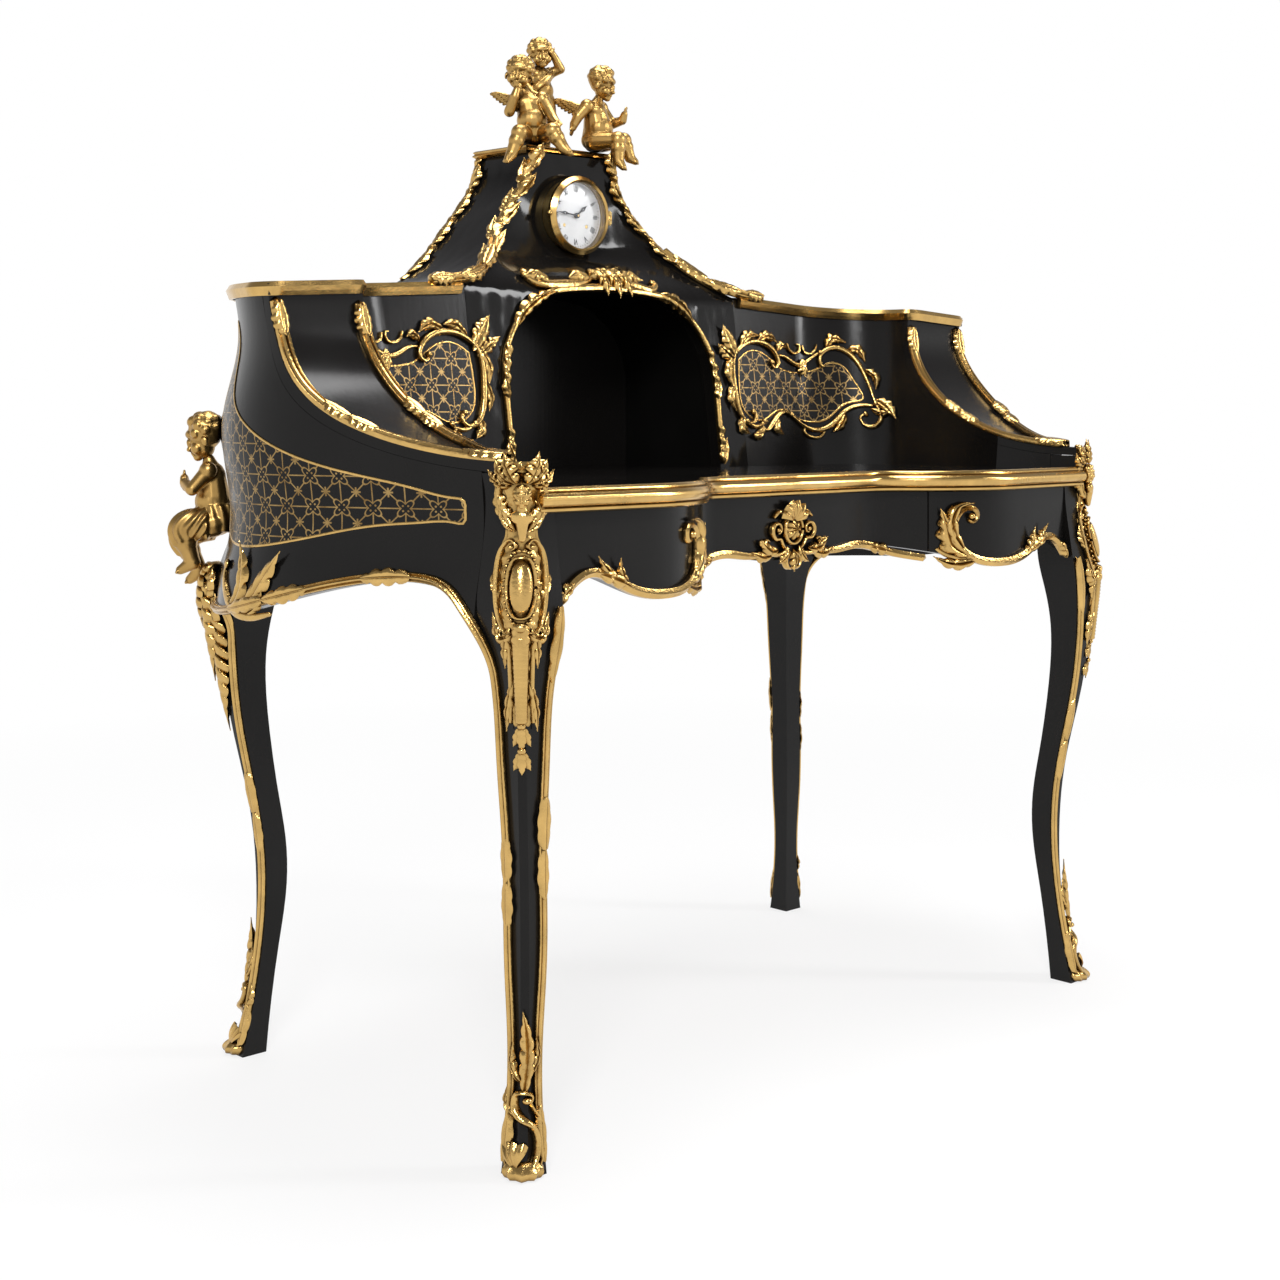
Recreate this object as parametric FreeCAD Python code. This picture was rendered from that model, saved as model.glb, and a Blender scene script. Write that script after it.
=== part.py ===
import FreeCAD, Part
import math
import os
from FreeCAD import Vector

# Driving dimensions in millimetres: X across the front, Y to the back, Z up from the floor
LEG_SPAN_X = 1081.0
LEG_SPAN_Y = 584.0
TABLE_HEIGHT = 760.0
TOP_THICKNESS = 22.0
STILE_INSET = 42.0
KNEE_HEIGHT = 625.0
PANEL_THICKNESS = 20.0
COVER_THICKNESS = 12.0
SIDE_BULGE = 127.0
BACK_BOW = 55.0
ARM_FRONT_HEIGHT = 792.0
ARM_TOP_HEIGHT = 984.0
ARM_BACK_Y = 20.0
SHELF_HEIGHT = 1023.0
SHELF_SLOPE = 0.06
SHELF_THICKNESS = 14.0
WELL_HALF_WIDTH = 508.0
WELL_FLARE = 28.0
WELL_BACK_Y = 122.0
WELL_LEAN = 34.0
WELL_CORNER_RADIUS = 125.0
CENTRE_HALF_WIDTH = 266.0
NICHE_HALF_WIDTH = 206.0
NICHE_SPRING_HEIGHT = 890.0
NICHE_HEIGHT = 1022.0
LINING_THICKNESS = 8.0
TOWER_TOP_HEIGHT = 1226.0
TOWER_TOP_HALF_WIDTH = 76.0
PLATFORM_HALF_WIDTH = 76.0
PLATFORM_FRONT_Y = 247.0
PLATFORM_BACK_Y = 353.0
PLATFORM_THICKNESS = 12.0
RECESS_FRONT_Y = -209.0
LOBE_FRONT_Y = -300.0
DRAWER_FRONT_THICKNESS = 18.0
DRAWER_SETBACK = 6.0
DRAWER_SPLIT_X = 229.0
DRAWER_TOP_GAP = 4.0
DRAWER_SIDE_GAP = 1.5
DRAWER_BOX_DEPTH = 400.0
DRAWER_BOX_HEIGHT = 56.0
DRAWER_WALL = 8.0
RUNNER_HEIGHT = 10.0
RUNNER_WIDTH = 16.0
RUNNER_GAP = 0.6
DIVIDER_THICKNESS = 12.0
CLOCK_HEIGHT = 1137.0
CLOCK_FRONT_Y = 221.0
DRUM_RADIUS = 54.0
DRUM_DEPTH = 70.0
DRUM_WALL = 3.0
BEZEL_RADIUS = 58.5
BEZEL_DEPTH = 13.0
DIAL_RADIUS = 50.0
DIAL_THICKNESS = 2.0
GLASS_RADIUS = 51.0
GLASS_THICKNESS = 2.0
HINGE_OFFSET = 63.0
HINGE_PIN_RADIUS = 1.5
HINGE_KNUCKLE_RADIUS = 3.2
RUNNING_GAP = 0.05
MOUNT_GAP = 0.4
FIT_GAP = 0.5
SEAM_GAP = 1.0

HALF_X = LEG_SPAN_X / 2
HALF_Y = LEG_SPAN_Y / 2
STILE_X = HALF_X - STILE_INSET
STILE_Y = HALF_Y - STILE_INSET
TOP_UNDERSIDE = TABLE_HEIGHT - TOP_THICKNESS
DIAGONAL = math.sqrt(2)
LEFT, RIGHT = -1, 1
FRONT, BACK = -1, 1


# Curves and solids

def smooth(*knots):
    """Value of a smooth curve through (position, value) knots."""
    places = [knot[0] for knot in knots]
    values = [knot[1] for knot in knots]
    last = len(knots) - 1
    slopes = []
    for i in range(last + 1):
        low = max(i - 1, 0)
        high = min(i + 1, last)
        slopes.append((values[high] - values[low]) / (places[high] - places[low]))

    def value(place):
        place = min(max(place, places[0]), places[-1])
        i = 0
        while i < last - 1 and place > places[i + 1]:
            i += 1
        span = places[i + 1] - places[i]
        t = (place - places[i]) / span
        rise = (1 + 2 * t) * (1 - t) ** 2 * values[i] + t * t * (3 - 2 * t) * values[i + 1]
        bend = t * (1 - t) ** 2 * slopes[i] - t * t * (1 - t) * slopes[i + 1]
        return rise + span * bend

    return value


def fair(*knots):
    """Value of a natural cubic spline through (position, value) knots."""
    x = [knot[0] for knot in knots]
    v = [knot[1] for knot in knots]
    last = len(knots) - 1
    h = [x[i + 1] - x[i] for i in range(last)]
    bend = [0.0] * (last + 1)
    ratio = [0.0] * (last + 1)
    load = [0.0] * (last + 1)
    for i in range(1, last):
        pivot = 2 * (h[i - 1] + h[i]) - h[i - 1] * ratio[i - 1]
        ratio[i] = h[i] / pivot
        jump = 6 * ((v[i + 1] - v[i]) / h[i] - (v[i] - v[i - 1]) / h[i - 1])
        load[i] = (jump - h[i - 1] * load[i - 1]) / pivot
    for i in range(last - 1, 0, -1):
        bend[i] = load[i] - ratio[i] * bend[i + 1]

    def value(place):
        place = min(max(place, x[0]), x[-1])
        i = 0
        while i < last - 1 and place > x[i + 1]:
            i += 1
        a = (x[i + 1] - place) / h[i]
        b = 1 - a
        curve = ((a ** 3 - a) * bend[i] + (b ** 3 - b) * bend[i + 1]) * h[i] ** 2 / 6
        return a * v[i] + b * v[i + 1] + curve

    return value


def steps(first, last, count):
    return [first + (last - first) * i / (count - 1) for i in range(count)]


def travel_along(points):
    """Distance covered at each point of a path."""
    travel = [0.0]
    for start, end in zip(points, points[1:]):
        travel.append(travel[-1] + (end - start).Length)
    return travel


def curve_through(points, places):
    curve = Part.BSplineCurve()
    curve.interpolate(Points=points, Parameters=places)
    return curve


def spline(points):
    return curve_through(points, travel_along(points)).toShape()


def ruled(first, second):
    """Face between two curves that share their knots."""
    surface = Part.BSplineSurface()
    surface.buildFromPolesMultsKnots([first.getPoles(), second.getPoles()], [2, 2],
                                     first.getMultiplicities(), [0, 1], first.getKnots(),
                                     False, False, 1, first.Degree)
    return surface.toShape()


def line(start, end):
    return Part.makeLine(start, end)


def solid_of(faces):
    shell = Part.Shell(faces)
    shell.sewShape()
    solid = Part.Solid(shell)
    if solid.Volume < 0:
        solid = Part.Solid(Part.Shell([face.reversed() for face in shell.Faces]))
    return solid


def bar(sections):
    """Solid through closed flat sections that all have the same number of corners."""
    count = len(sections[0])
    middles = [sum(section, Vector()) * (1 / count) for section in sections]
    places = travel_along(middles)
    curves = [curve_through([section[k] for section in sections], places) for k in range(count)]
    faces = [ruled(curves[k], curves[(k + 1) % count]) for k in range(count)]
    for end in (sections[0], sections[-1]):
        faces.append(Part.Face(Part.makePolygon(end + [end[0]])))
    return solid_of(faces)


def slab(outer, inner):
    """Solid between two grids of points, each an interpolated surface."""
    surfaces = []
    for grid in (outer, inner):
        surface = Part.BSplineSurface()
        surface.interpolate(grid)
        surfaces.append(surface)
    faces = [surface.toShape() for surface in surfaces]
    u_low, u_high, v_low, v_high = surfaces[0].bounds()
    for u in (u_low, u_high):
        faces.append(Part.makeRuledSurface(*[s.uIso(u).toShape() for s in surfaces]))
    for v in (v_low, v_high):
        faces.append(Part.makeRuledSurface(*[s.vIso(v).toShape() for s in surfaces]))
    return solid_of(faces)


def prism(edges, direction):
    return Part.Face(Part.Wire(Part.__sortEdges__(edges))).extrude(direction)


def block(x0, y0, z0, x1, y1, z1):
    return Part.makeBox(x1 - x0, y1 - y0, z1 - z0, Vector(x0, y0, z0))


def mirrored(shape):
    return shape.mirror(Vector(0, 0, 0), Vector(1, 0, 0))


def largest(shape):
    return max(shape.Solids, key=lambda solid: solid.Volume)


def moulding(points, normals, section):
    """Bar along a path; section corners are (across, out) pairs."""
    sections = []
    for i, point in enumerate(points):
        ahead = points[min(i + 1, len(points) - 1)]
        behind = points[max(i - 1, 0)]
        tangent = (ahead - behind).normalize()
        across = tangent.cross(normals[i]).normalize()
        out = across.cross(tangent)
        sections.append([point + across * a + out * b for a, b in section])
    return bar(sections)


def crown(width, height, lift=MOUNT_GAP):
    """Rounded strip section standing on its path."""
    half = width / 2
    low = lift + height * 0.35
    return [(-half, lift), (half, lift), (half, low), (half * 0.5, lift + height),
            (-half * 0.5, lift + height), (-half, low)]


# Shared shapes of the carcass

KNEE_OUT = 30.0
leg_outer = fair((0, 12), (0.1 * KNEE_HEIGHT, -6), (0.22 * KNEE_HEIGHT, -19),
                 (0.35 * KNEE_HEIGHT, -22), (0.52 * KNEE_HEIGHT, -13), (0.72 * KNEE_HEIGHT, 14),
                 (0.87 * KNEE_HEIGHT, 26), (KNEE_HEIGHT, KNEE_OUT), (1.1 * KNEE_HEIGHT, 16),
                 (1.14 * KNEE_HEIGHT, 12), (1.25 * KNEE_HEIGHT, 16))
back_outer = fair((0.87 * KNEE_HEIGHT, 26), (KNEE_HEIGHT, KNEE_OUT), (1.14 * KNEE_HEIGHT, 2),
                  (TABLE_HEIGHT + 76, 22), (TABLE_HEIGHT + 178, -20), (ARM_TOP_HEIGHT + 10, -8))
STILE_DIAGONAL = -STILE_INSET * DIAGONAL
leg_inner = smooth((0, -39), (0.1 * KNEE_HEIGHT, -45), (0.22 * KNEE_HEIGHT, -55),
                   (0.35 * KNEE_HEIGHT, -66), (0.45 * KNEE_HEIGHT, -65), (0.6 * KNEE_HEIGHT, -50),
                   (0.76 * KNEE_HEIGHT, -39), (0.88 * KNEE_HEIGHT, -41), (0.96 * KNEE_HEIGHT, -52),
                   (1.03 * KNEE_HEIGHT, STILE_DIAGONAL), (2 * KNEE_HEIGHT, STILE_DIAGONAL))


def front_corner(z):
    return leg_outer(z) / DIAGONAL


def back_corner(z):
    outer = back_outer(z) if z > 0.9 * KNEE_HEIGHT else leg_outer(z)
    return outer / DIAGONAL


side_swell = fair((-HALF_Y - 60, 0), (-HALF_Y - 12, 0), (-0.49 * HALF_Y, 0.52 * SIDE_BULGE),
                  (0.15 * HALF_Y, SIDE_BULGE), (0.685 * HALF_Y, 0.49 * SIDE_BULGE),
                  (HALF_Y + 12, 0), (HALF_Y + 90, 0))


def side_x(y, z):
    """Half width of the bombe side skin."""
    share = min(max((y + HALF_Y) / LEG_SPAN_Y, 0), 1)
    corner = front_corner(z) * (1 - share) + back_corner(z) * share
    return HALF_X + corner + side_swell(y)


def back_y(x):
    """Outer face of the bowed back panel."""
    return HALF_Y + 8 + BACK_BOW * (1 - (x / STILE_X) ** 2)


def shelf_z(x):
    return SHELF_HEIGHT - SHELF_SLOPE * (abs(x) - CENTRE_HALF_WIDTH)


def lean_y(z):
    """Front face of the centre below the tower sweep."""
    return WELL_BACK_Y + WELL_LEAN * (z - TABLE_HEIGHT) / (SHELF_HEIGHT - TABLE_HEIGHT)


tower_rise = TOWER_TOP_HEIGHT - SHELF_HEIGHT
tower_half = fair((SHELF_HEIGHT, CENTRE_HALF_WIDTH), (SHELF_HEIGHT + 0.08 * tower_rise, 230),
                  (SHELF_HEIGHT + 0.2 * tower_rise, 194), (SHELF_HEIGHT + 0.45 * tower_rise, 146),
                  (SHELF_HEIGHT + 0.62 * tower_rise, 115), (SHELF_HEIGHT + 0.78 * tower_rise, 91),
                  (TOWER_TOP_HEIGHT, TOWER_TOP_HALF_WIDTH))
sweep_edge = fair((SHELF_HEIGHT - 30, lean_y(SHELF_HEIGHT - 30)),
                  (SHELF_HEIGHT, lean_y(SHELF_HEIGHT) + 2),
                  (SHELF_HEIGHT + 0.2 * tower_rise, 191), (SHELF_HEIGHT + 0.45 * tower_rise, 226),
                  (SHELF_HEIGHT + 0.65 * tower_rise, 236), (TOWER_TOP_HEIGHT, 229))
sweep_middle = fair((SHELF_HEIGHT - 30, lean_y(SHELF_HEIGHT - 30)),
                    (SHELF_HEIGHT, lean_y(SHELF_HEIGHT) + 3),
                    (SHELF_HEIGHT + 0.1 * tower_rise, 180), (SHELF_HEIGHT + 0.2 * tower_rise, 211),
                    (SHELF_HEIGHT + 0.3 * tower_rise, 229), (SHELF_HEIGHT + 0.45 * tower_rise, 237),
                    (TOWER_TOP_HEIGHT, 230))


def centre_y(x, z):
    """Front face of the centre panel, niche and clock tower."""
    if z < SHELF_HEIGHT - 30:
        return lean_y(z)
    width = tower_half(z) if z > SHELF_HEIGHT else CENTRE_HALF_WIDTH
    middle = max(1 - (x / width) ** 2, -0.5)
    return sweep_edge(z) + (sweep_middle(z) - sweep_edge(z)) * middle


table_front = fair((0, RECESS_FRONT_Y), (130, RECESS_FRONT_Y - 2), (195, RECESS_FRONT_Y - 18),
                   (232, RECESS_FRONT_Y - 56), (262, LOBE_FRONT_Y + 14), (310, LOBE_FRONT_Y - 4),
                   (380, LOBE_FRONT_Y - 8), (HALF_X - 20, LOBE_FRONT_Y - 3),
                   (HALF_X + 60, LOBE_FRONT_Y - 1))
apron_z = fair((0, 652), (60, 651), (110, 659), (160, 662), (229, 651), (290, 637), (345, 628),
               (382, 637), (420, 652), (450, 660), (480, 652), (520, 632))
side_apron_z = fair((-STILE_Y, 604), (-222, 640), (-185, 655), (-130, 653), (-52, 636), (30, 615),
                    (110, 602), (180, 600), (STILE_Y, 598))


def front_y(x):
    return table_front(abs(x))


def ramp_point(turn, depth=0.0):
    """Point (y, z) on the swept arm top; turn runs from the back (0) to the front (90)."""
    a = math.radians(turn)
    reach = ARM_BACK_Y + HALF_Y
    drop = ARM_TOP_HEIGHT - ARM_FRONT_HEIGHT
    y = -HALF_Y + reach * math.cos(a)
    z = ARM_TOP_HEIGHT - drop * math.sin(a)
    normal = Vector(0, drop * math.cos(a), -reach * math.sin(a)).normalize()
    return Vector(0, y, z) + normal * depth


def ramp_edges(depth, x):
    curve = [ramp_point(turn, depth) + Vector(x, 0, 0) for turn in steps(0, 90, 9)]
    head = curve[0] + Vector(0, 0, 60)
    return [line(head, curve[0]), spline(curve)], head, curve[-1]


def above_ramp(depth):
    """Everything over the arm top, for trimming the boards below it."""
    x = -LEG_SPAN_X
    edges, head, foot = ramp_edges(depth, x)
    far = Vector(x, -2 * HALF_Y, foot.z)
    roof = Vector(x, -2 * HALF_Y, head.z)
    edges += [line(foot, far), line(far, roof), line(roof, head)]
    return prism(edges, Vector(2 * LEG_SPAN_X, 0, 0))


def shelf_band(low, high, y0, y1):
    """Left half of a board parallel to the sloping shelf."""
    near = -CENTRE_HALF_WIDTH + 60
    far = -HALF_X - 250
    corners = [(far, low), (near, low), (near, high), (far, high)]
    points = [Vector(x, y0, shelf_z(x) + dz) for x, dz in corners]
    return Part.Face(Part.makePolygon(points + [points[0]])).extrude(Vector(0, y1 - y0, 0))


def well_outline(z, depth):
    """Left half of the open well above the table, grown outwards by depth."""
    share = (z - TABLE_HEIGHT) / (SHELF_HEIGHT - TABLE_HEIGHT)
    arm = WELL_HALF_WIDTH + WELL_FLARE * share + depth
    back = WELL_BACK_Y + WELL_LEAN * share + depth
    radius = WELL_CORNER_RADIUS + depth
    front = -LEG_SPAN_Y * 0.75
    bend = radius * (1 - 1 / DIAGONAL)
    points = [Vector(0, front, z), Vector(-HALF_X - 20 - depth, front, z),
              Vector(-HALF_X - 6 - depth, -HALF_Y, z), Vector(-arm, -HALF_Y * 0.58, z),
              Vector(-arm, back - radius, z), Vector(-arm + radius, back, z), Vector(0, back, z)]
    corner = Part.Arc(points[4], Vector(-arm + bend, back - bend, z), points[5]).toShape()
    edges = [line(points[i], points[i + 1]) for i in range(4)]
    edges += [corner, line(points[5], points[6]), line(points[6], points[0])]
    return Part.Wire(edges)


def well(depth):
    levels = (TABLE_HEIGHT, SHELF_HEIGHT + 40)
    return Part.makeLoft([well_outline(z, depth) for z in levels], True, True)


def left_body(depth):
    """Left half of the space inside the bombe skin."""
    ys = steps(-HALF_Y - 30, HALF_Y + BACK_BOW + 30, 13)
    zs = steps(0.9 * KNEE_HEIGHT, SHELF_HEIGHT + 30, 12)
    skin = [[Vector(depth - side_x(y, z), y, z) for z in zs] for y in ys]
    core = [[Vector(-CENTRE_HALF_WIDTH + 44, y, z) for z in zs] for y in ys]
    return slab(skin, core)


# Legs with their corner stiles

def leg_corners(sx, sy, z):
    """Inner, side, outer and front corners of the square leg section."""
    outer = back_outer(z) if sy == BACK and z > 0.9 * KNEE_HEIGHT else leg_outer(z)
    inner = leg_inner(z)
    centre = Vector(sx * HALF_X, sy * HALF_Y, z)
    o = centre + Vector(sx, sy, 0) * (outer / DIAGONAL)
    i = centre + Vector(sx, sy, 0) * (inner / DIAGONAL)
    share = min(max((z / KNEE_HEIGHT - 0.88) / 0.16, 0), 1)
    spread = (side_x(i.y, z) - abs(o.x)) * share * share * (3 - 2 * share)
    return i, Vector(o.x + sx * spread, i.y, z), o, Vector(i.x, o.y, z)


LEG_CHAMFER = 7.0


def leg(sx, sy, top):
    levels = [share * KNEE_HEIGHT for share in (0, 0.06, 0.13, 0.22, 0.35, 0.45, 0.55, 0.65, 0.76,
                                                0.86, 0.93, 1.0, 1.06)]
    if sy == FRONT:
        levels += [1.13 * KNEE_HEIGHT, top]
    else:
        levels += steps(1.12 * KNEE_HEIGHT, top, 10)
    sections = []
    for z in levels:
        i, a, o, b = leg_corners(sx, sy, z)
        first = o + (a - o).normalize() * LEG_CHAMFER
        second = o + (b - o).normalize() * LEG_CHAMFER
        sections.append([i, a, first, second, b])
    post = bar(sections)
    low = 0.9 * KNEE_HEIGHT
    post = post.cut(block(-STILE_X, -2 * HALF_Y, low, STILE_X, 2 * HALF_Y, 2000))
    return largest(post.cut(block(-2 * HALF_X, -STILE_Y, low, 2 * HALF_X, STILE_Y, 2000)))


# Carcass boards

def side_panel():
    ys = steps(-STILE_Y + FIT_GAP, STILE_Y - FIT_GAP, 11)
    zs = steps(0.93 * KNEE_HEIGHT, SHELF_HEIGHT, 15)
    skin = [[Vector(-side_x(y, z), y, z) for z in zs] for y in ys]
    inner = [[point + Vector(PANEL_THICKNESS, 0, 0) for point in row] for row in skin]
    panel = slab(skin, inner)
    curve = [Vector(-LEG_SPAN_X, y, side_apron_z(y)) for y in steps(-STILE_Y, STILE_Y, 13)]
    low = [curve[0] - Vector(0, 0, 200), curve[-1] - Vector(0, 0, 200)]
    edges = [spline(curve), line(curve[-1], low[1]), line(low[1], low[0]), line(low[0], curve[0])]
    panel = panel.cut(prism(edges, Vector(LEG_SPAN_X, 0, 0)))
    panel = panel.cut(above_ramp(COVER_THICKNESS + FIT_GAP))
    panel = panel.cut(shelf_band(-SHELF_THICKNESS - FIT_GAP, 120, -400, 500))
    return largest(panel)


def ramp_cover():
    x = -LEG_SPAN_X
    outer, outer_head, outer_foot = ramp_edges(0, x)
    inner, inner_head, inner_foot = ramp_edges(COVER_THICKNESS, x)
    edges = outer + inner + [line(outer_head, inner_head), line(outer_foot, inner_foot)]
    cover = prism(edges, Vector(LEG_SPAN_X, 0, 0))
    cover = cover.common(left_body(0)).cut(well(0))
    cover = cover.cut(shelf_band(-SHELF_THICKNESS - FIT_GAP, 120, -400, 500))
    return largest(cover)


def inner_wall():
    wall = well(COVER_THICKNESS).cut(well(0))
    x1 = -CENTRE_HALF_WIDTH - FIT_GAP
    keep = block(-LEG_SPAN_X, -STILE_Y + FIT_GAP, TABLE_HEIGHT, x1, 400, SHELF_HEIGHT)
    wall = wall.common(keep)
    wall = wall.cut(above_ramp(COVER_THICKNESS + FIT_GAP))
    wall = wall.cut(shelf_band(-SHELF_THICKNESS - FIT_GAP, 120, -400, 500))
    return largest(wall)


def bow_band(depth, x0, x1, z0, z1):
    """Upright board that follows the bowed back, between two depths in front of it."""
    near, far = depth
    xs = steps(x0, x1, 9)
    outer = [Vector(x, back_y(x) - near, z0) for x in xs]
    inner = [Vector(x, back_y(x) - far, z0) for x in xs]
    edges = [spline(outer), spline(inner), line(outer[0], inner[0]), line(outer[-1], inner[-1])]
    return prism(edges, Vector(0, 0, z1 - z0))


def shelf_board():
    board = shelf_band(-SHELF_THICKNESS, 0, ARM_BACK_Y - 4, HALF_Y + BACK_BOW + 20)
    board = board.common(left_body(-2)).cut(well(0))
    board = board.cut(bow_band((-300, 0), -LEG_SPAN_X, LEG_SPAN_X, 900, 1400))
    behind = PANEL_THICKNESS + FIT_GAP
    front = lean_y(SHELF_HEIGHT) + behind + 8
    board = board.cut(block(-CENTRE_HALF_WIDTH - FIT_GAP, 0, 900, 0, front, 1200))
    return largest(board.cut(block(-HALF_X, 0, SHELF_HEIGHT - FIT_GAP, 0, 600, 1200)))


def tower_outline(inset, z0):
    """Front view of centre and tower, from z0 up to the platform."""
    zs = steps(SHELF_HEIGHT, TOWER_TOP_HEIGHT, 11)
    right = [Vector(tower_half(z) - inset, 0, z) for z in zs]
    left = [Vector(inset - tower_half(z), 0, z) for z in zs]
    edges = [spline(right), spline(left), line(right[-1], left[-1])]
    base = [Vector(right[0].x, 0, z0), Vector(left[0].x, 0, z0)]
    edges += [line(right[0], base[0]), line(base[0], base[1]), line(base[1], left[0])]
    return prism(edges, Vector(0, 500, 0))


def arch(grow, z0):
    """Front view of the niche opening, grown outwards."""
    half = NICHE_HALF_WIDTH + grow
    top = NICHE_HEIGHT + grow
    rise = NICHE_HEIGHT - NICHE_SPRING_HEIGHT
    spring = NICHE_SPRING_HEIGHT
    shoulder = (half * 0.57, top - rise * 0.09)
    haunch = (half * 0.86, spring + (shoulder[1] - spring) * 0.65)
    p = [Vector(-half, 0, z0), Vector(-half, 0, spring), Vector(-haunch[0], 0, haunch[1]),
         Vector(-shoulder[0], 0, shoulder[1]), Vector(0, 0, top), Vector(shoulder[0], 0, shoulder[1]),
         Vector(haunch[0], 0, haunch[1]), Vector(half, 0, spring), Vector(half, 0, z0)]
    return [line(p[0], p[1]), Part.Arc(p[1], p[2], p[3]).toShape(), Part.Arc(p[3], p[4], p[5]).toShape(),
            Part.Arc(p[5], p[6], p[7]).toShape(), line(p[7], p[8])]


def arch_prism(grow, z0):
    edges = arch(grow, z0)
    edges.append(line(edges[-1].Vertexes[-1].Point, edges[0].Vertexes[0].Point))
    return prism(edges, Vector(0, 500, 0))


def centre_slab(near, far):
    """Centre panel body between two depths behind its front face."""
    half = CENTRE_HALF_WIDTH + 4
    xs = steps(-half, half, 13)
    zs = steps(TABLE_HEIGHT, TOWER_TOP_HEIGHT, 31)
    outer = [[Vector(x, centre_y(x, z) + near, z) for z in zs] for x in xs]
    inner = [[Vector(x, centre_y(x, z) + far, z) for z in zs] for x in xs]
    return slab(outer, inner)


def clock_cylinder(radius, y0, y1):
    return Part.makeCylinder(radius, y1 - y0, Vector(0, y0, CLOCK_HEIGHT), Vector(0, 1, 0))


def centre_panel():
    panel = centre_slab(0, PANEL_THICKNESS)
    panel = panel.common(tower_outline(0, TABLE_HEIGHT))
    panel = panel.cut(arch_prism(0, TABLE_HEIGHT - 10))
    panel = panel.cut(clock_cylinder(DRUM_RADIUS + FIT_GAP, 100, 400))
    return largest(panel)


def behind_centre():
    """Space from the back of the centre panel to well past the back."""
    return centre_slab(PANEL_THICKNESS + FIT_GAP, 400)


TOWER_SIDE_THICKNESS = 16.0
BACK_THICKNESS = 12.0


def tower_side():
    zs = steps(SHELF_HEIGHT, TOWER_TOP_HEIGHT, 11)
    outer = [Vector(-tower_half(z), 0, z) for z in zs]
    inner = [Vector(TOWER_SIDE_THICKNESS - tower_half(z), 0, z) for z in zs]
    edges = [spline(outer), spline(inner), line(outer[0], inner[0]), line(outer[-1], inner[-1])]
    side = prism(edges, Vector(0, 600, 0)).common(behind_centre())
    rear = bow_band((-300, BACK_THICKNESS + FIT_GAP), -STILE_X, STILE_X, 900, 1400)
    return largest(side.cut(rear))


def tower_back():
    board = bow_band((0, BACK_THICKNESS), -CENTRE_HALF_WIDTH, CENTRE_HALF_WIDTH, SHELF_HEIGHT, 1400)
    return largest(board.common(tower_outline(0, TABLE_HEIGHT)))


def back_panel():
    half = STILE_X - FIT_GAP
    board = bow_band((0, BACK_THICKNESS), -half, half, KNEE_HEIGHT + 15, SHELF_HEIGHT - FIT_GAP)
    trim = shelf_band(-SHELF_THICKNESS - FIT_GAP, 120, -400, 500)
    board = board.cut(trim)
    return largest(board.cut(mirrored(trim)))


def niche_lining():
    hull = arch_prism(LINING_THICKNESS, TABLE_HEIGHT).cut(arch_prism(0, TABLE_HEIGHT - 10))
    hull = hull.common(behind_centre())
    rear = bow_band((-300, BACK_THICKNESS + FIT_GAP), -STILE_X, STILE_X, 700, 1400)
    return largest(hull.cut(rear))


def table_top():
    half = STILE_X - FIT_GAP
    wide = WELL_HALF_WIDTH + 20
    deep = STILE_Y - FIT_GAP
    z = TOP_UNDERSIDE
    front = [Vector(x, front_y(x), z) for x in steps(-half, half, 41)]
    rear = [Vector(x, back_y(x) - BACK_THICKNESS - FIT_GAP, z) for x in steps(half, -half, 9)]
    right = [front[-1], Vector(half, -deep, z), Vector(wide, -deep, z), Vector(wide, deep, z),
             Vector(half, deep, z), rear[0]]
    left = [Vector(-p.x, p.y, z) for p in right]
    edges = [spline(front), spline(rear)]
    edges += [line(right[i], right[i + 1]) for i in range(5)]
    edges += [line(left[i], left[i + 1]) for i in range(5)]
    return prism(edges, Vector(0, 0, TOP_THICKNESS))


BOX_BOTTOM = TOP_UNDERSIDE - DRAWER_TOP_GAP - 6 - DRAWER_BOX_HEIGHT
RUNNER_TOP = BOX_BOTTOM - RUNNER_GAP
DIVIDER_X = DRAWER_SPLIT_X + 4
BOX_BACK_Y = LOBE_FRONT_Y + DRAWER_SETBACK + DRAWER_FRONT_THICKNESS + DRAWER_BOX_DEPTH


def drawer_dividers():
    boards = []
    for s in (LEFT, RIGHT):
        x0 = min(s * DIVIDER_X, s * (DIVIDER_X + DIVIDER_THICKNESS))
        y0 = front_y(DIVIDER_X) + DRAWER_SETBACK + DRAWER_FRONT_THICKNESS + 16
        y1 = back_y(DIVIDER_X + DIVIDER_THICKNESS) - BACK_THICKNESS - FIT_GAP
        z0 = RUNNER_TOP - RUNNER_HEIGHT
        boards.append(block(x0, y0, z0, x0 + DIVIDER_THICKNESS, y1, TOP_UNDERSIDE))
    return Part.makeCompound(boards)


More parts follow.
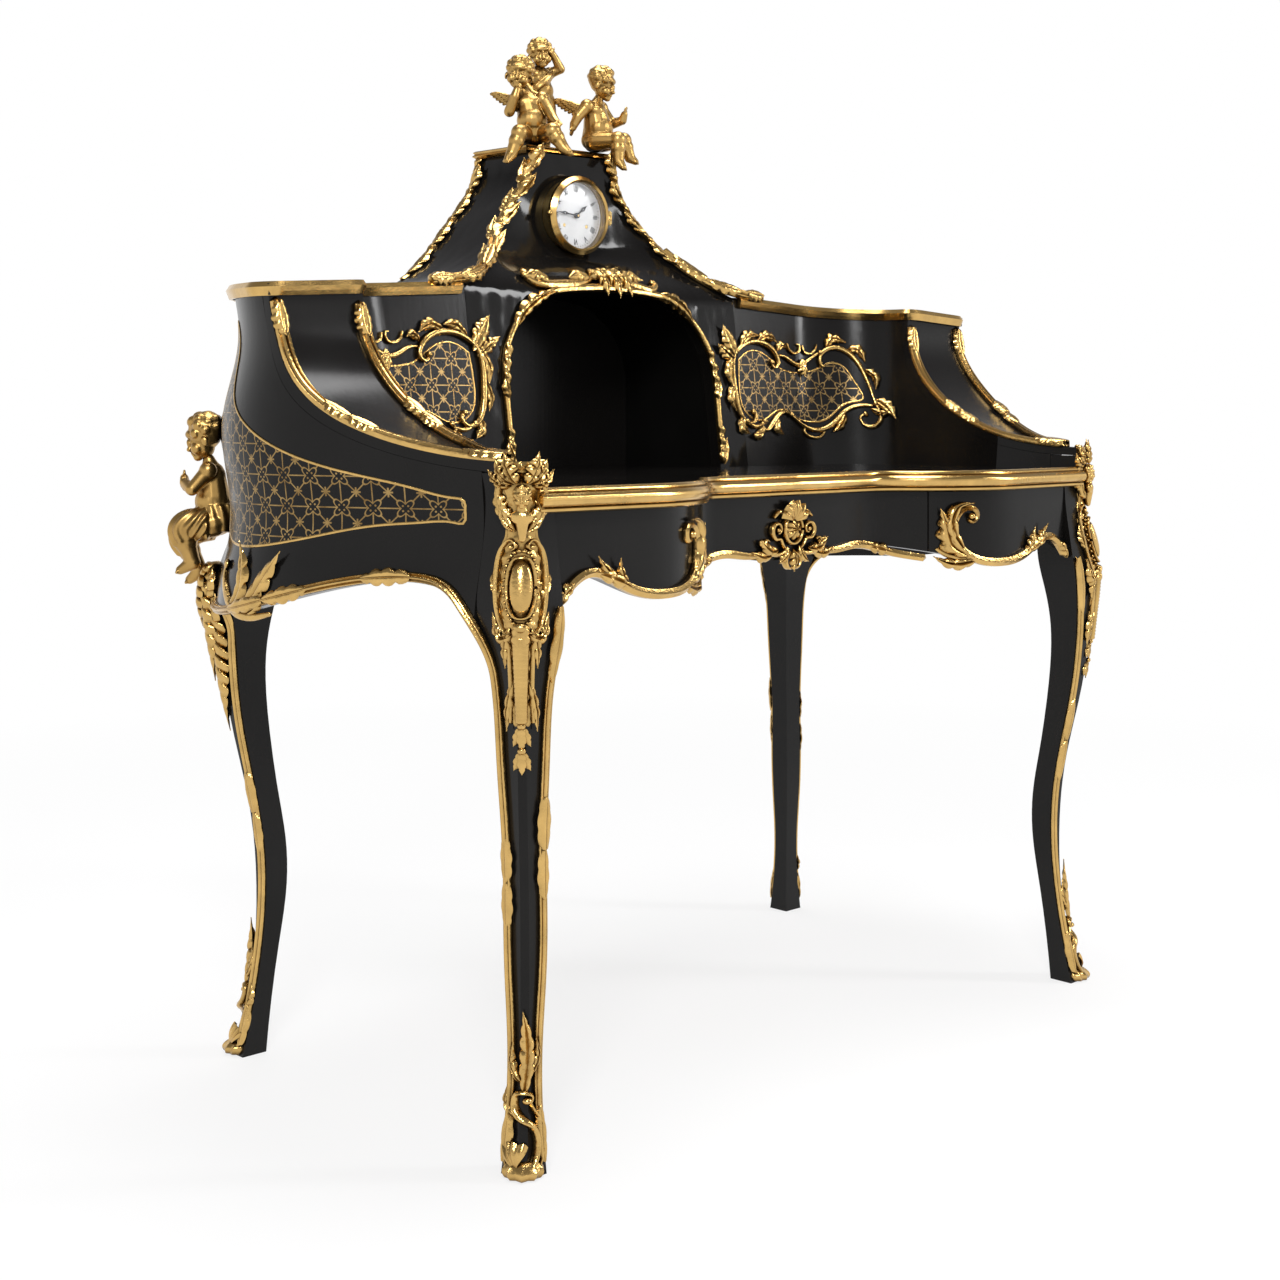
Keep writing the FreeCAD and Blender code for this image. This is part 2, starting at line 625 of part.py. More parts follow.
def drawer_runners():
    outer_edge = STILE_X - FIT_GAP
    inner_edge = DIVIDER_X + DIVIDER_THICKNESS
    y_rear = back_y(inner_edge + RUNNER_WIDTH) - BACK_THICKNESS - FIT_GAP
    y_middle = front_y(DIVIDER_X - RUNNER_WIDTH) + DRAWER_SETBACK + DRAWER_FRONT_THICKNESS + 6
    strips = []
    for s in (LEFT, RIGHT):
        spans = [(DIVIDER_X - RUNNER_WIDTH, DIVIDER_X, y_middle, y_rear),
                 (inner_edge, inner_edge + RUNNER_WIDTH, y_middle, y_rear),
                 (outer_edge - RUNNER_WIDTH, outer_edge, -STILE_Y, HALF_Y - 20)]
        for near, far, y0, y1 in spans:
            x0 = min(s * near, s * far)
            strips.append(block(x0, y0, RUNNER_TOP - RUNNER_HEIGHT, x0 + RUNNER_WIDTH, y1, RUNNER_TOP))
    return Part.makeCompound(strips)


# Drawers

def front_band(x0, x1, near, far, z0, z1):
    xs = steps(x0, x1, 31)
    outer = [Vector(x, front_y(x) + near, z0) for x in xs]
    inner = [Vector(x, front_y(x) + far, z0) for x in xs]
    edges = [spline(outer), spline(inner), line(outer[0], inner[0]), line(outer[-1], inner[-1])]
    return prism(edges, Vector(0, 0, z1 - z0))


def drawer_front(x0, x1):
    top = TOP_UNDERSIDE - DRAWER_TOP_GAP
    near = DRAWER_SETBACK
    board = front_band(x0, x1, near, near + DRAWER_FRONT_THICKNESS, 580, top)
    curve = [Vector(x, -500, apron_z(abs(x))) for x in steps(x0 - 4, x1 + 4, 31)]
    high = [Vector(curve[0].x, -500, top + 50), Vector(curve[-1].x, -500, top + 50)]
    edges = [spline(curve), line(curve[0], high[0]), line(high[0], high[1]), line(high[1], curve[-1])]
    return largest(board.common(prism(edges, Vector(0, 500, 0))))


def drawer_box(x0, x1):
    top = BOX_BOTTOM + DRAWER_BOX_HEIGHT
    wall = DRAWER_WALL
    box = block(x0, -400, BOX_BOTTOM, x1, BOX_BACK_Y, top)
    hollow = block(x0 + wall, -500, BOX_BOTTOM + wall, x1 - wall, BOX_BACK_Y - wall, top + 50)
    behind = DRAWER_SETBACK + DRAWER_FRONT_THICKNESS + 0.1
    ahead = front_band(x0 - 5, x1 + 5, -400, behind, BOX_BOTTOM - 5, top + 5)
    return largest(box.cut(hollow).cut(ahead))


# Gilt mouldings

def edge_moulding():
    half = HALF_X - 8
    xs = steps(-half, half, 61)
    z = TOP_UNDERSIDE
    points = [Vector(x, front_y(x) - MOUNT_GAP, z) for x in xs]
    high = TOP_THICKNESS + 4
    section = [(0, -3), (0, high), (-5, high), (-9, high - 3), (-9, high - 8), (-14, high - 12),
               (-16, high - 19), (-13, 0), (-8, -3)]
    section = [(-b, -a) for a, b in section]
    normals = [Vector(0, -1, 0)] * len(points)
    return moulding(points, normals, section)


def ramp_moulding(outer):
    points = []
    normals = []
    for turn in steps(0, 86, 15):
        point = ramp_point(turn, 0)
        outward = (point - ramp_point(turn, 10)).normalize()
        if outer:
            x = side_x(point.y, point.z) - 9
        else:
            share = (point.z - TABLE_HEIGHT) / (SHELF_HEIGHT - TABLE_HEIGHT)
            flare = max(-point.y - 0.58 * HALF_Y, 0) * 0.22
            x = WELL_HALF_WIDTH + WELL_FLARE * share + 8 + flare
        points.append(Vector(-x, point.y, point.z))
        normals.append(outward)
    return moulding(points, normals, crown(14, 9))


def cornice_path():
    """Plan of the shelf edge: tower foot, concave corner, arm top, round the side to the back."""
    share = 1 - SHELF_SLOPE
    arm = WELL_HALF_WIDTH + WELL_FLARE * share
    back = WELL_BACK_Y + WELL_LEAN * share
    r = WELL_CORNER_RADIUS
    points = [Vector(-x, back, 0) for x in steps(CENTRE_HALF_WIDTH + 10, arm - r, 6)]
    low = ARM_BACK_Y - 4
    for turn in steps(80, 8, 8):
        a = math.radians(turn)
        points.append(Vector(-(arm - r + r * math.cos(a)), back - r + r * math.sin(a), 0))
    points.append(Vector(-arm - 4, low + 3, 0))
    points.append(Vector(-arm - 16, low, 0))
    outer = side_x(low, ARM_TOP_HEIGHT)
    points += [Vector(-x, low, 0) for x in steps(arm + 40, outer - 22, 4)]
    points.append(Vector(-outer + 6, low + 3, 0))
    for y in steps(low + 14, HALF_Y - 12, 9):
        points.append(Vector(-side_x(y, ARM_TOP_HEIGHT + 12) - 2, y, 0))
    return points


def cornice():
    points = [p + Vector(0, 0, shelf_z(p.x) - SHELF_THICKNESS) for p in cornice_path()]
    high = SHELF_THICKNESS + 2
    section = [(-1, 0.8), (high, 0.8), (high, 5), (high * 0.6, 9), (high * 0.25, 7), (-1, 5)]
    sections = []
    for i, point in enumerate(points):
        ahead = points[min(i + 1, len(points) - 1)]
        behind = points[max(i - 1, 0)]
        tangent = (ahead - behind).normalize()
        out = tangent.cross(Vector(0, 0, 1)).normalize() * -1
        sections.append([point + Vector(0, 0, a) + out * b for a, b in section])
    return bar(sections)


def tower_edge(front):
    points = []
    normals = []
    for z in steps(SHELF_HEIGHT + 12, TOWER_TOP_HEIGHT - 6, 11):
        x = tower_half(z)
        y = centre_y(x, z) if front else back_y(x)
        points.append(Vector(-x, y, z))
        normals.append(Vector(-1, -1 if front else 1, 0).normalize())
    half = 7
    section = [(-half, -half + 2.5), (0, 1.2), (half, -half + 2.5), (half + 1, 0), (half * 0.5, 7),
               (-half * 0.5, 7), (-half - 1, 0)]
    return moulding(points, normals, section)


def platform_moulding():
    z0 = TOWER_TOP_HEIGHT
    z1 = z0 + PLATFORM_THICKNESS
    rings = []
    for grow, z in ((5, z0), (10, z0 + 4), (7, z0 + 7), (9, z1 - 2), (6, z1)):
        x = PLATFORM_HALF_WIDTH + grow
        y0 = PLATFORM_FRONT_Y - grow
        y1 = PLATFORM_BACK_Y + grow
        rings.append([Vector(-x, y0, z), Vector(x, y0, z), Vector(x, y1, z), Vector(-x, y1, z)])
    wires = [Part.makePolygon(ring + [ring[0]]) for ring in rings]
    ring = Part.makeLoft(wires, True, True)
    x = PLATFORM_HALF_WIDTH + MOUNT_GAP
    hole = block(-x, PLATFORM_FRONT_Y - MOUNT_GAP, z0 - 5, x, PLATFORM_BACK_Y + MOUNT_GAP, z1 + 5)
    return ring.cut(hole)


def niche_moulding():
    wire = Part.Wire(arch(3, TABLE_HEIGHT + 2))
    flat = wire.discretize(Number=49)
    points = [Vector(p.x, centre_y(p.x, p.z), p.z) for p in flat]
    normals = []
    for p in points:
        lean = (centre_y(p.x, p.z + 6) - centre_y(p.x, p.z - 6)) / 12
        normals.append(Vector(0, -1, lean).normalize())
    return moulding(points, normals, crown(15, 9, 0.8))


def side_apron_moulding():
    points = []
    for y in steps(-STILE_Y - 2, STILE_Y + 2, 21):
        z = side_apron_z(min(max(y, -STILE_Y), STILE_Y)) + 6
        points.append(Vector(-side_x(y, z), y, z))
    normals = [Vector(-1, 0, 0)] * len(points)
    return moulding(points, normals, crown(13, 8, 0.9))


def drawer_moulding(x0, x1):
    xs = steps(x0, x1, 25)
    points = [Vector(x, front_y(x) + DRAWER_SETBACK, apron_z(abs(x)) + 6) for x in xs]
    normals = []
    for x in xs:
        slope = (front_y(x + 1) - front_y(x - 1)) / 2
        normals.append(Vector(slope, -1, 0).normalize())
    return moulding(points, normals, crown(12, 8, 0.6))


def wall_point(travel, z, lift):
    """Point on the well wall at a distance along it from the niche side."""
    share = (z - TABLE_HEIGHT) / (SHELF_HEIGHT - TABLE_HEIGHT)
    arm = WELL_HALF_WIDTH + WELL_FLARE * share
    back = WELL_BACK_Y + WELL_LEAN * share
    r = WELL_CORNER_RADIUS
    x = CENTRE_HALF_WIDTH - 56 + travel
    start = arm - r
    if x < start:
        return Vector(-x, back - lift, z)
    a = min((x - start) / r, 1.45)
    return Vector(-(start + (r - lift) * math.sin(a)), back - r + (r - lift) * math.cos(a), z)


CARTOUCHE_MIDDLE = 168.0
CARTOUCHE_HALF = 132.0
CARTOUCHE_HEIGHT = 66.0
CARTOUCHE_Z = 888.0


def squarish(value):
    return math.copysign(abs(value) ** 0.62, value)


def cartouche_frame():
    """Closed rocaille frame on the well wall, as two halves joined end to end."""
    halves = []
    for start, stop in ((0, 180), (180, 360)):
        points = []
        normals = []
        for turn in steps(start, stop, 25):
            a = math.radians(turn)
            travel = CARTOUCHE_MIDDLE + CARTOUCHE_HALF * squarish(math.cos(a))
            z = CARTOUCHE_Z + CARTOUCHE_HEIGHT * squarish(math.sin(a))
            points.append(wall_point(travel, z, 0.6))
            normals.append((wall_point(travel, z, 10) - wall_point(travel, z, 0)).normalize())
        halves.append(moulding(points, normals, crown(16, 9, 1.0)))
    return Part.makeCompound(halves)


# Corner mounts, sabots and strips that hug a leg

def corner_clasp(sx, sy, levels):
    """Bar round the outer corner of a leg; levels are (height, wing, thickness, nose)."""
    sections = []
    for z, wing, thick, nose in levels:
        i, a, o, b = leg_corners(sx, sy, z)
        along = (a - o).normalize() * wing
        o = o + Vector(sx * MOUNT_GAP, sy * MOUNT_GAP, 0)
        side = o + along
        front = o - Vector(sx * wing, 0, 0)
        tip = o + Vector(sx, sy, 0) * (nose / DIAGONAL)
        shoulder = 0.45 * wing
        sections.append([o, side, side + Vector(sx * thick, 0, 0),
                         tip - Vector(0, sy * shoulder, 0), tip - Vector(sx * shoulder, 0, 0),
                         front + Vector(0, sy * thick, 0), front])
    return bar(sections)


def front_mount(sx):
    """Scroll capital over the table edge, and a stalk with an oval boss below it."""
    k = KNEE_HEIGHT
    stalk = corner_clasp(sx, FRONT, [
        (0.72 * k, 8, 2, 5), (0.76 * k, 16, 3, 8), (0.8 * k, 11, 3, 7), (0.86 * k, 17, 3, 8),
        (0.93 * k, 23, 3, 9), (0.98 * k, 32, 3, 11), (1.02 * k, 36, 3, 19), (1.06 * k, 35, 3, 11),
        (1.1 * k, 28, 3, 9), (1.13 * k, 22, 3, 8)])
    capital = corner_clasp(sx, FRONT, [
        (1.13 * k + 1, 22, 8, 14), (1.16 * k, 22, 8, 18), (TABLE_HEIGHT - 14, 24, 10, 24),
        (TABLE_HEIGHT + 6, 26, 12, 24), (ARM_FRONT_HEIGHT - COVER_THICKNESS, 22, 10, 20)])
    return Part.makeCompound([stalk, capital])


def back_drop(sx):
    k = KNEE_HEIGHT
    return corner_clasp(sx, BACK, [
        (0.68 * k, 8, 2, 5), (0.76 * k, 16, 3, 8), (0.85 * k, 22, 3, 9), (0.94 * k, 26, 3, 9),
        (1.0 * k, 28, 3, 10)])


def sabot(sx, sy):
    return corner_clasp(sx, sy, [
        (3, 34, 10, 21), (14, 36, 12, 26), (32, 34, 9, 22), (58, 30, 5, 13), (90, 24, 4, 9),
        (128, 16, 3, 7), (160, 9, 2, 5)])


def leg_strips(sx, sy):
    bars = []
    for face in (0, 1):
        points = []
        normals = []
        for z in steps(62, 0.93 * KNEE_HEIGHT, 15):
            i, a, o, b = leg_corners(sx, sy, z)
            if face == 0:
                points.append(a + Vector(0, sy * 6, 0))
                normals.append(Vector(sx, 0, 0))
            else:
                points.append(b + Vector(sx * 6, 0, 0))
                normals.append(Vector(0, sy, 0))
        bars.append(moulding(points, normals, crown(9, 5)))
    return bars


APRON_LEAF_ROOT_Y = 110.0
APRON_LEAF_TIP_Y = 0.0


def apron_leaf():
    points = []
    for y in steps(APRON_LEAF_ROOT_Y, APRON_LEAF_TIP_Y, 9):
        z = side_apron_z(y) + 22 + 0.3 * (APRON_LEAF_ROOT_Y - y)
        points.append(Vector(-side_x(y, z), y, z))
    normals = [Vector(-1, 0, 0)] * len(points)
    return moulding(points, normals, crown(16, 6, 1.5))


def drawer_leaf(x0, z0, x1, z1):
    xs = steps(x0, x1, 7)
    points = []
    for i, x in enumerate(xs):
        points.append(Vector(x, front_y(x) + DRAWER_SETBACK, z0 + (z1 - z0) * i / 6))
    normals = [Vector(0, -1, 0)] * 7
    return moulding(points, normals, crown(14, 6, 0.8))


# Figures from rounded limbs

def limb(start, end, r0, r1):
    axis = end - start
    cone = Part.makeCone(r0, r1, axis.Length, start, axis) if abs(r0 - r1) > 0.01 else \
        Part.makeCylinder(r0, axis.Length, start, axis)
    return [cone, Part.makeSphere(r1 * 1.03, end)]


def figure(place, heading, chains):
    """Fused figure; chains list (forward, left, up, radius) joints, placed and turned to heading."""
    a = math.radians(heading)
    forward = Vector(math.cos(a), math.sin(a), 0)
    left = Vector(-math.sin(a), math.cos(a), 0)
    solids = []
    for chain in chains:
        joints = []
        for f, s, up, radius in chain:
            joints.append((place + forward * f + left * s + Vector(0, 0, up), radius))
        solids.append(Part.makeSphere(joints[0][1] * 1.03, joints[0][0]))
        for (p, r0), (q, r1) in zip(joints, joints[1:]):
            solids += limb(p, q, r0, r1)
    return largest(solids[0].multiFuse(solids[1:]))


SEATED_CHILD = [
    [(0, 0, 21, 23), (3, -3, 40, 24), (2, -9, 64, 19), (4, -15, 82, 8), (8, -21, 106, 21)],
    [(4, 12, 70, 10), (14, 22, 52, 9), (26, 30, 36, 7.5), (32, 34, 31, 6)],
    [(4, -28, 68, 10), (14, -36, 49, 9), (22, -28, 70, 7.5), (22, -25, 80, 6)],
    [(3, 12, 17, 16), (38, 28, 17, 13), (42, 44, -8, 9.5), (48, 53, -16, 6)],
    [(3, -12, 16, 16), (42, -20, 14, 13), (46, -32, -18, 9.5), (55, -38, -28, 6)]]
LEANING_CHILD = [
    [(0, 0, 20, 22), (4, 0, 39, 23.5), (1, -3, 62, 19), (6, 0, 82, 8), (10, 3, 104, 21)],
    [(2, 20, 70, 10), (18, 24, 46, 9), (36, 22, 50, 7.5), (40, 20, 59, 6)],
    [(-4, -22, 68, 10), (-14, -32, 52, 9), (-20, -34, 40, 7.5), (-22, -34, 34, 6)],
    [(3, 12, 16, 16), (40, 16, 18, 13), (50, 18, -8, 9.5), (58, 20, -14, 6)],
    [(3, -12, 16, 16), (42, -12, 16, 13), (44, -14, -16, 9.5), (52, -15, -26, 6)]]
STANDING_CHILD = [
    [(0, 0, 78, 19), (3, 0, 98, 19.5), (1, 0, 120, 16), (3, 0, 136, 7), (5, 0, 159, 20)],
    [(2, 17, 124, 8.5), (14, 30, 132, 7.5), (16, 18, 152, 6), (15, 12, 160, 5)],
    [(2, -17, 124, 8.5), (6, -28, 104, 7.5), (20, -22, 88, 6), (28, -16, 84, 5)],
    [(0, 10, 68, 13.5), (6, 12, 38, 11), (-2, 12, 10, 8), (10, 13, 6, 5.5)],
    [(0, -10, 68, 13.5), (10, -13, 40, 11), (6, -14, 10, 8), (18, -15, 6, 5.5)]]
KNEELING_CHILD = [
    [(0, 0, 58, 24), (6, 0, 84, 24), (8, 0, 116, 20), (12, 0, 136, 9), (17, 0, 166, 25)],
    [(10, 20, 122, 11), (30, 26, 98, 9.5), (42, 8, 106, 7.5), (44, 0, 112, 6.5)],
    [(10, -20, 122, 11), (30, -26, 98, 9.5), (42, -8, 100, 7.5), (44, 0, 106, 6.5)],
    [(4, 13, 52, 19), (44, 16, 42, 16), (30, 18, 2, 11), (46, 19, -8, 7)],
    [(4, -13, 52, 19), (48, -16, 30, 16), (26, -18, -12, 11), (40, -19, -24, 7)]]


WING_REACH = 50.0


def wing(place, heading, reach):
    a = math.radians(heading)
    forward = Vector(math.cos(a), math.sin(a), 0)
    left = Vector(-math.sin(a), math.cos(a), 0)
    outline = [(0, 0), (-0.3, 0.35), (-0.9, 0.6), (-1.0, 0.1), (-0.75, -0.35), (-0.35, -0.4)]
    points = [place + forward * (f * reach) + Vector(0, 0, u * reach) for f, u in outline]
    return Part.Face(Part.makePolygon(points + [points[0]])).extrude(left * 4)


def putto(place, heading, chains, wing_up, wing_turn, reach=WING_REACH):
    body = figure(place, heading, chains)
    a = math.radians(heading)
    root = place + Vector(-10 * math.cos(a), -10 * math.sin(a), wing_up)
    return largest(body.fuse(wing(root, heading + wing_turn, reach)))


# Clock

def ring(outer, inner, y0, y1):
    return clock_cylinder(outer, y0, y1).cut(clock_cylinder(inner, y0 - 1, y1 + 1))


BEZEL_FRONT_Y = CLOCK_FRONT_Y - BEZEL_DEPTH
DIAL_Y = CLOCK_FRONT_Y + 3.0
HINGE_Y = CLOCK_FRONT_Y - HINGE_KNUCKLE_RADIUS - 0.8
HINGE_HALF = 9.0


def upright(radius, z0, z1):
    return Part.makeCylinder(radius, z1 - z0, Vector(HINGE_OFFSET, HINGE_Y, CLOCK_HEIGHT + z0))


def clock_drum():
    drum = ring(DRUM_RADIUS, DRUM_RADIUS - DRUM_WALL, CLOCK_FRONT_Y + 0.4, CLOCK_FRONT_Y + DRUM_DEPTH)
    arm = block(DRUM_RADIUS - 2, CLOCK_FRONT_Y + 0.4, CLOCK_HEIGHT - HINGE_HALF,
                HINGE_OFFSET, CLOCK_FRONT_Y + 4, CLOCK_HEIGHT + HINGE_HALF)
    lugs = []
    for z0, z1 in ((-HINGE_HALF, -HINGE_HALF / 2), (HINGE_HALF / 2, HINGE_HALF)):
        lugs.append(upright(HINGE_KNUCKLE_RADIUS, z0, z1))
        lugs.append(block(HINGE_OFFSET - 2, HINGE_Y, CLOCK_HEIGHT + z0, HINGE_OFFSET + 2,
                          CLOCK_FRONT_Y + 4, CLOCK_HEIGHT + z1))
    drum = drum.fuse([arm] + lugs)
    return largest(drum.cut(upright(HINGE_PIN_RADIUS, -20, 20)))


def bezel():
    y0 = BEZEL_FRONT_Y
    y1 = CLOCK_FRONT_Y
    inner = DIAL_RADIUS - 0.5
    seat = GLASS_RADIUS + FIT_GAP
    outline = [(inner, y0 + 2), (inner + 3, y0), (BEZEL_RADIUS - 5, y0 + 1), (BEZEL_RADIUS, y0 + 6),
               (BEZEL_RADIUS, y1 - 2), (BEZEL_RADIUS - 2, y1), (seat, y1), (seat, y0 + 4),
               (inner, y0 + 4)]
    points = [Vector(r, y, CLOCK_HEIGHT) for r, y in outline]
    face = Part.Face(Part.makePolygon(points + [points[0]]))
    body = face.revolve(Vector(0, 0, CLOCK_HEIGHT), Vector(0, 1, 0), 360)
    half = HINGE_HALF / 2 - 0.3
    room = upright(HINGE_KNUCKLE_RADIUS + 0.6, -HINGE_HALF - 1, HINGE_HALF + 1)
    body = body.cut(room)
    knuckle = upright(HINGE_KNUCKLE_RADIUS, -half, half)
    tongue = block(BEZEL_RADIUS - 6, HINGE_Y - 2, CLOCK_HEIGHT - half, HINGE_OFFSET, HINGE_Y + 2,
                   CLOCK_HEIGHT + half)
    knob = Part.makeSphere(4, Vector(-BEZEL_RADIUS - 2, y0 + 6, CLOCK_HEIGHT))
    body = body.fuse([knuckle, tongue, knob])
    return largest(body.cut(upright(HINGE_PIN_RADIUS + RUNNING_GAP, -20, 20)))


def glass():
    y0 = BEZEL_FRONT_Y + 4 + 0.1
    return clock_cylinder(GLASS_RADIUS, y0, y0 + GLASS_THICKNESS)


ARBOR_RADIUS = 1.6
PIPE_RADIUS = 2.6
HOUR_Y = DIAL_Y - 2.6
MINUTE_Y = DIAL_Y - 5.0
HAND_THICKNESS = 0.9
MINUTE_LENGTH = 40.0
HOUR_LENGTH = 27.0
MINUTE_REST = 276.0
HOUR_REST = 52.0


def movement():
    y0 = DIAL_Y + DIAL_THICKNESS + 0.3
    y1 = CLOCK_FRONT_Y + DRUM_DEPTH - 14
    plates = [block(-30, y0, CLOCK_HEIGHT - 30, 30, y0 + 2, CLOCK_HEIGHT + 30),
              block(-30, y1 - 2, CLOCK_HEIGHT - 30, 30, y1, CLOCK_HEIGHT + 30)]
    for x in (-24, 24):
        for z in (-24, 24):
            plates.append(Part.makeCylinder(3, y1 - y0, Vector(x, y0, CLOCK_HEIGHT + z), Vector(0, 1, 0)))
    plates.append(Part.makeCylinder(14, y1 - y0, Vector(0, y0, CLOCK_HEIGHT - 8), Vector(0, 1, 0)))
    plates.append(clock_cylinder(ARBOR_RADIUS, MINUTE_Y - 1.5, y1))
    for x in (-22, 22):
        plates.append(Part.makeCylinder(2.2, 12, Vector(x, DIAL_Y + 0.2, CLOCK_HEIGHT - 15), Vector(0, 1, 0)))
    feet = []
    for x in (-1, 1):
        feet.append(block(min(x * 28, x * (DRUM_RADIUS - DRUM_WALL - 5)), y0 + 4, CLOCK_HEIGHT - 4,
                          max(x * 28, x * (DRUM_RADIUS - DRUM_WALL - 5)), y0 + 10, CLOCK_HEIGHT + 4))
    frame = plates[0].multiFuse(plates[1:] + feet)
    hoop = ring(DRUM_RADIUS - DRUM_WALL - FIT_GAP, DRUM_RADIUS - DRUM_WALL - 6, y0 + 3, y0 + 12)
    return largest(frame.fuse(hoop))


def dial():
    disc = clock_cylinder(DIAL_RADIUS, DIAL_Y, DIAL_Y + DIAL_THICKNESS)
    holes = [clock_cylinder(PIPE_RADIUS + 1.2, 0, 500)]
    for x in (-22, 22):
        holes.append(Part.makeCylinder(3, 100, Vector(x, DIAL_Y - 20, CLOCK_HEIGHT - 15), Vector(0, 1, 0)))
    for hole in holes:
        disc = disc.cut(hole)
    return disc


def hand(length, width, y0, bore, turn):
    """Pierced clock hand with a round hub, turned clockwise from twelve."""
    z = CLOCK_HEIGHT
    outline = [(-width * 0.3, 0), (-width * 0.35, length * 0.45), (-width, length * 0.62),
               (-width * 0.35, length * 0.8), (0, length), (width * 0.35, length * 0.8),
               (width, length * 0.62), (width * 0.35, length * 0.45), (width * 0.3, 0)]
    points = [Vector(x, y0, z + up) for x, up in outline]
    blade = Part.Face(Part.makePolygon(points + [points[0]])).extrude(Vector(0, HAND_THICKNESS, 0))
    eye = Part.makeCylinder(width * 0.5, 10, Vector(0, y0 - 5, z + length * 0.62), Vector(0, 1, 0))
    hub = clock_cylinder(bore + 2.4, y0, y0 + HAND_THICKNESS)
    solid = blade.cut(eye).fuse(hub).cut(clock_cylinder(bore, y0 - 5, y0 + 5))
    solid.rotate(Vector(0, 0, z), Vector(0, 1, 0), turn)
    return largest(solid)


# Assembly

PANELS = ["side_panel_left", "side_panel_right"]
BACK_LEGS = ["leg_back_left", "leg_back_right"]
LEGS = ["leg_front_left", "leg_front_right"] + BACK_LEGS
TOWER = ["centre_panel", "tower_side_left", "tower_side_right", "tower_back"]
CARRIERS = [
    ("well_wall_left", ["side_panel_left", "leg_front_left"]),
    ("arm_edges", ["arm_cover_left", "arm_cover_right"]),
    ("niche_edge", ["centre_panel", "table_top"]),
    ("tower_edges", TOWER + ["shelf_left", "shelf_right"]),
    ("cornice", ["shelf_left", "shelf_right", "arm_cover_left", "arm_cover_right", "well_wall_left",
                 "well_wall_right", "tower_edges", "arm_edges"] + PANELS + LEGS),
    ("cartouche_left", ["well_wall_left", "centre_panel", "niche_edge"]),
    ("side_apron_edges", PANELS + LEGS),
    ("apron_leaves", PANELS + ["side_apron_edges"]),
    ("sabots", LEGS),
    ("leg_drops", BACK_LEGS),
    ("leg_strips", LEGS + ["sabots", "leg_drops", "side_apron_edges"]),
    ("table_edge", ["table_top"] + LEGS),
    ("corner_mount_left", ["leg_front_left", "table_edge", "side_apron_edges", "leg_strips"]),
    ("corner_figure_left", PANELS + LEGS + ["leg_drops", "side_apron_edges", "back_panel"]),
    ("putto_left", ["platform", "platform_edge"] + TOWER),
    ("putto_right", ["platform", "platform_edge"] + TOWER),
    ("drawer_left_mount", ["drawer_left_front"]),
    ("drawer_centre_mount", ["drawer_centre_front"]),
]


def fitted(shape, carriers):
    """Trims every solid of a node against the pieces it sits on and against its own neighbours."""
    solids = []
    for solid in shape.Solids:
        for carrier in carriers + solids:
            if solid.BoundBox.intersect(carrier.BoundBox):
                solid = largest(solid.cut(carrier))
        solids.append(solid)
    return solids[0] if len(solids) == 1 else Part.makeCompound(solids)


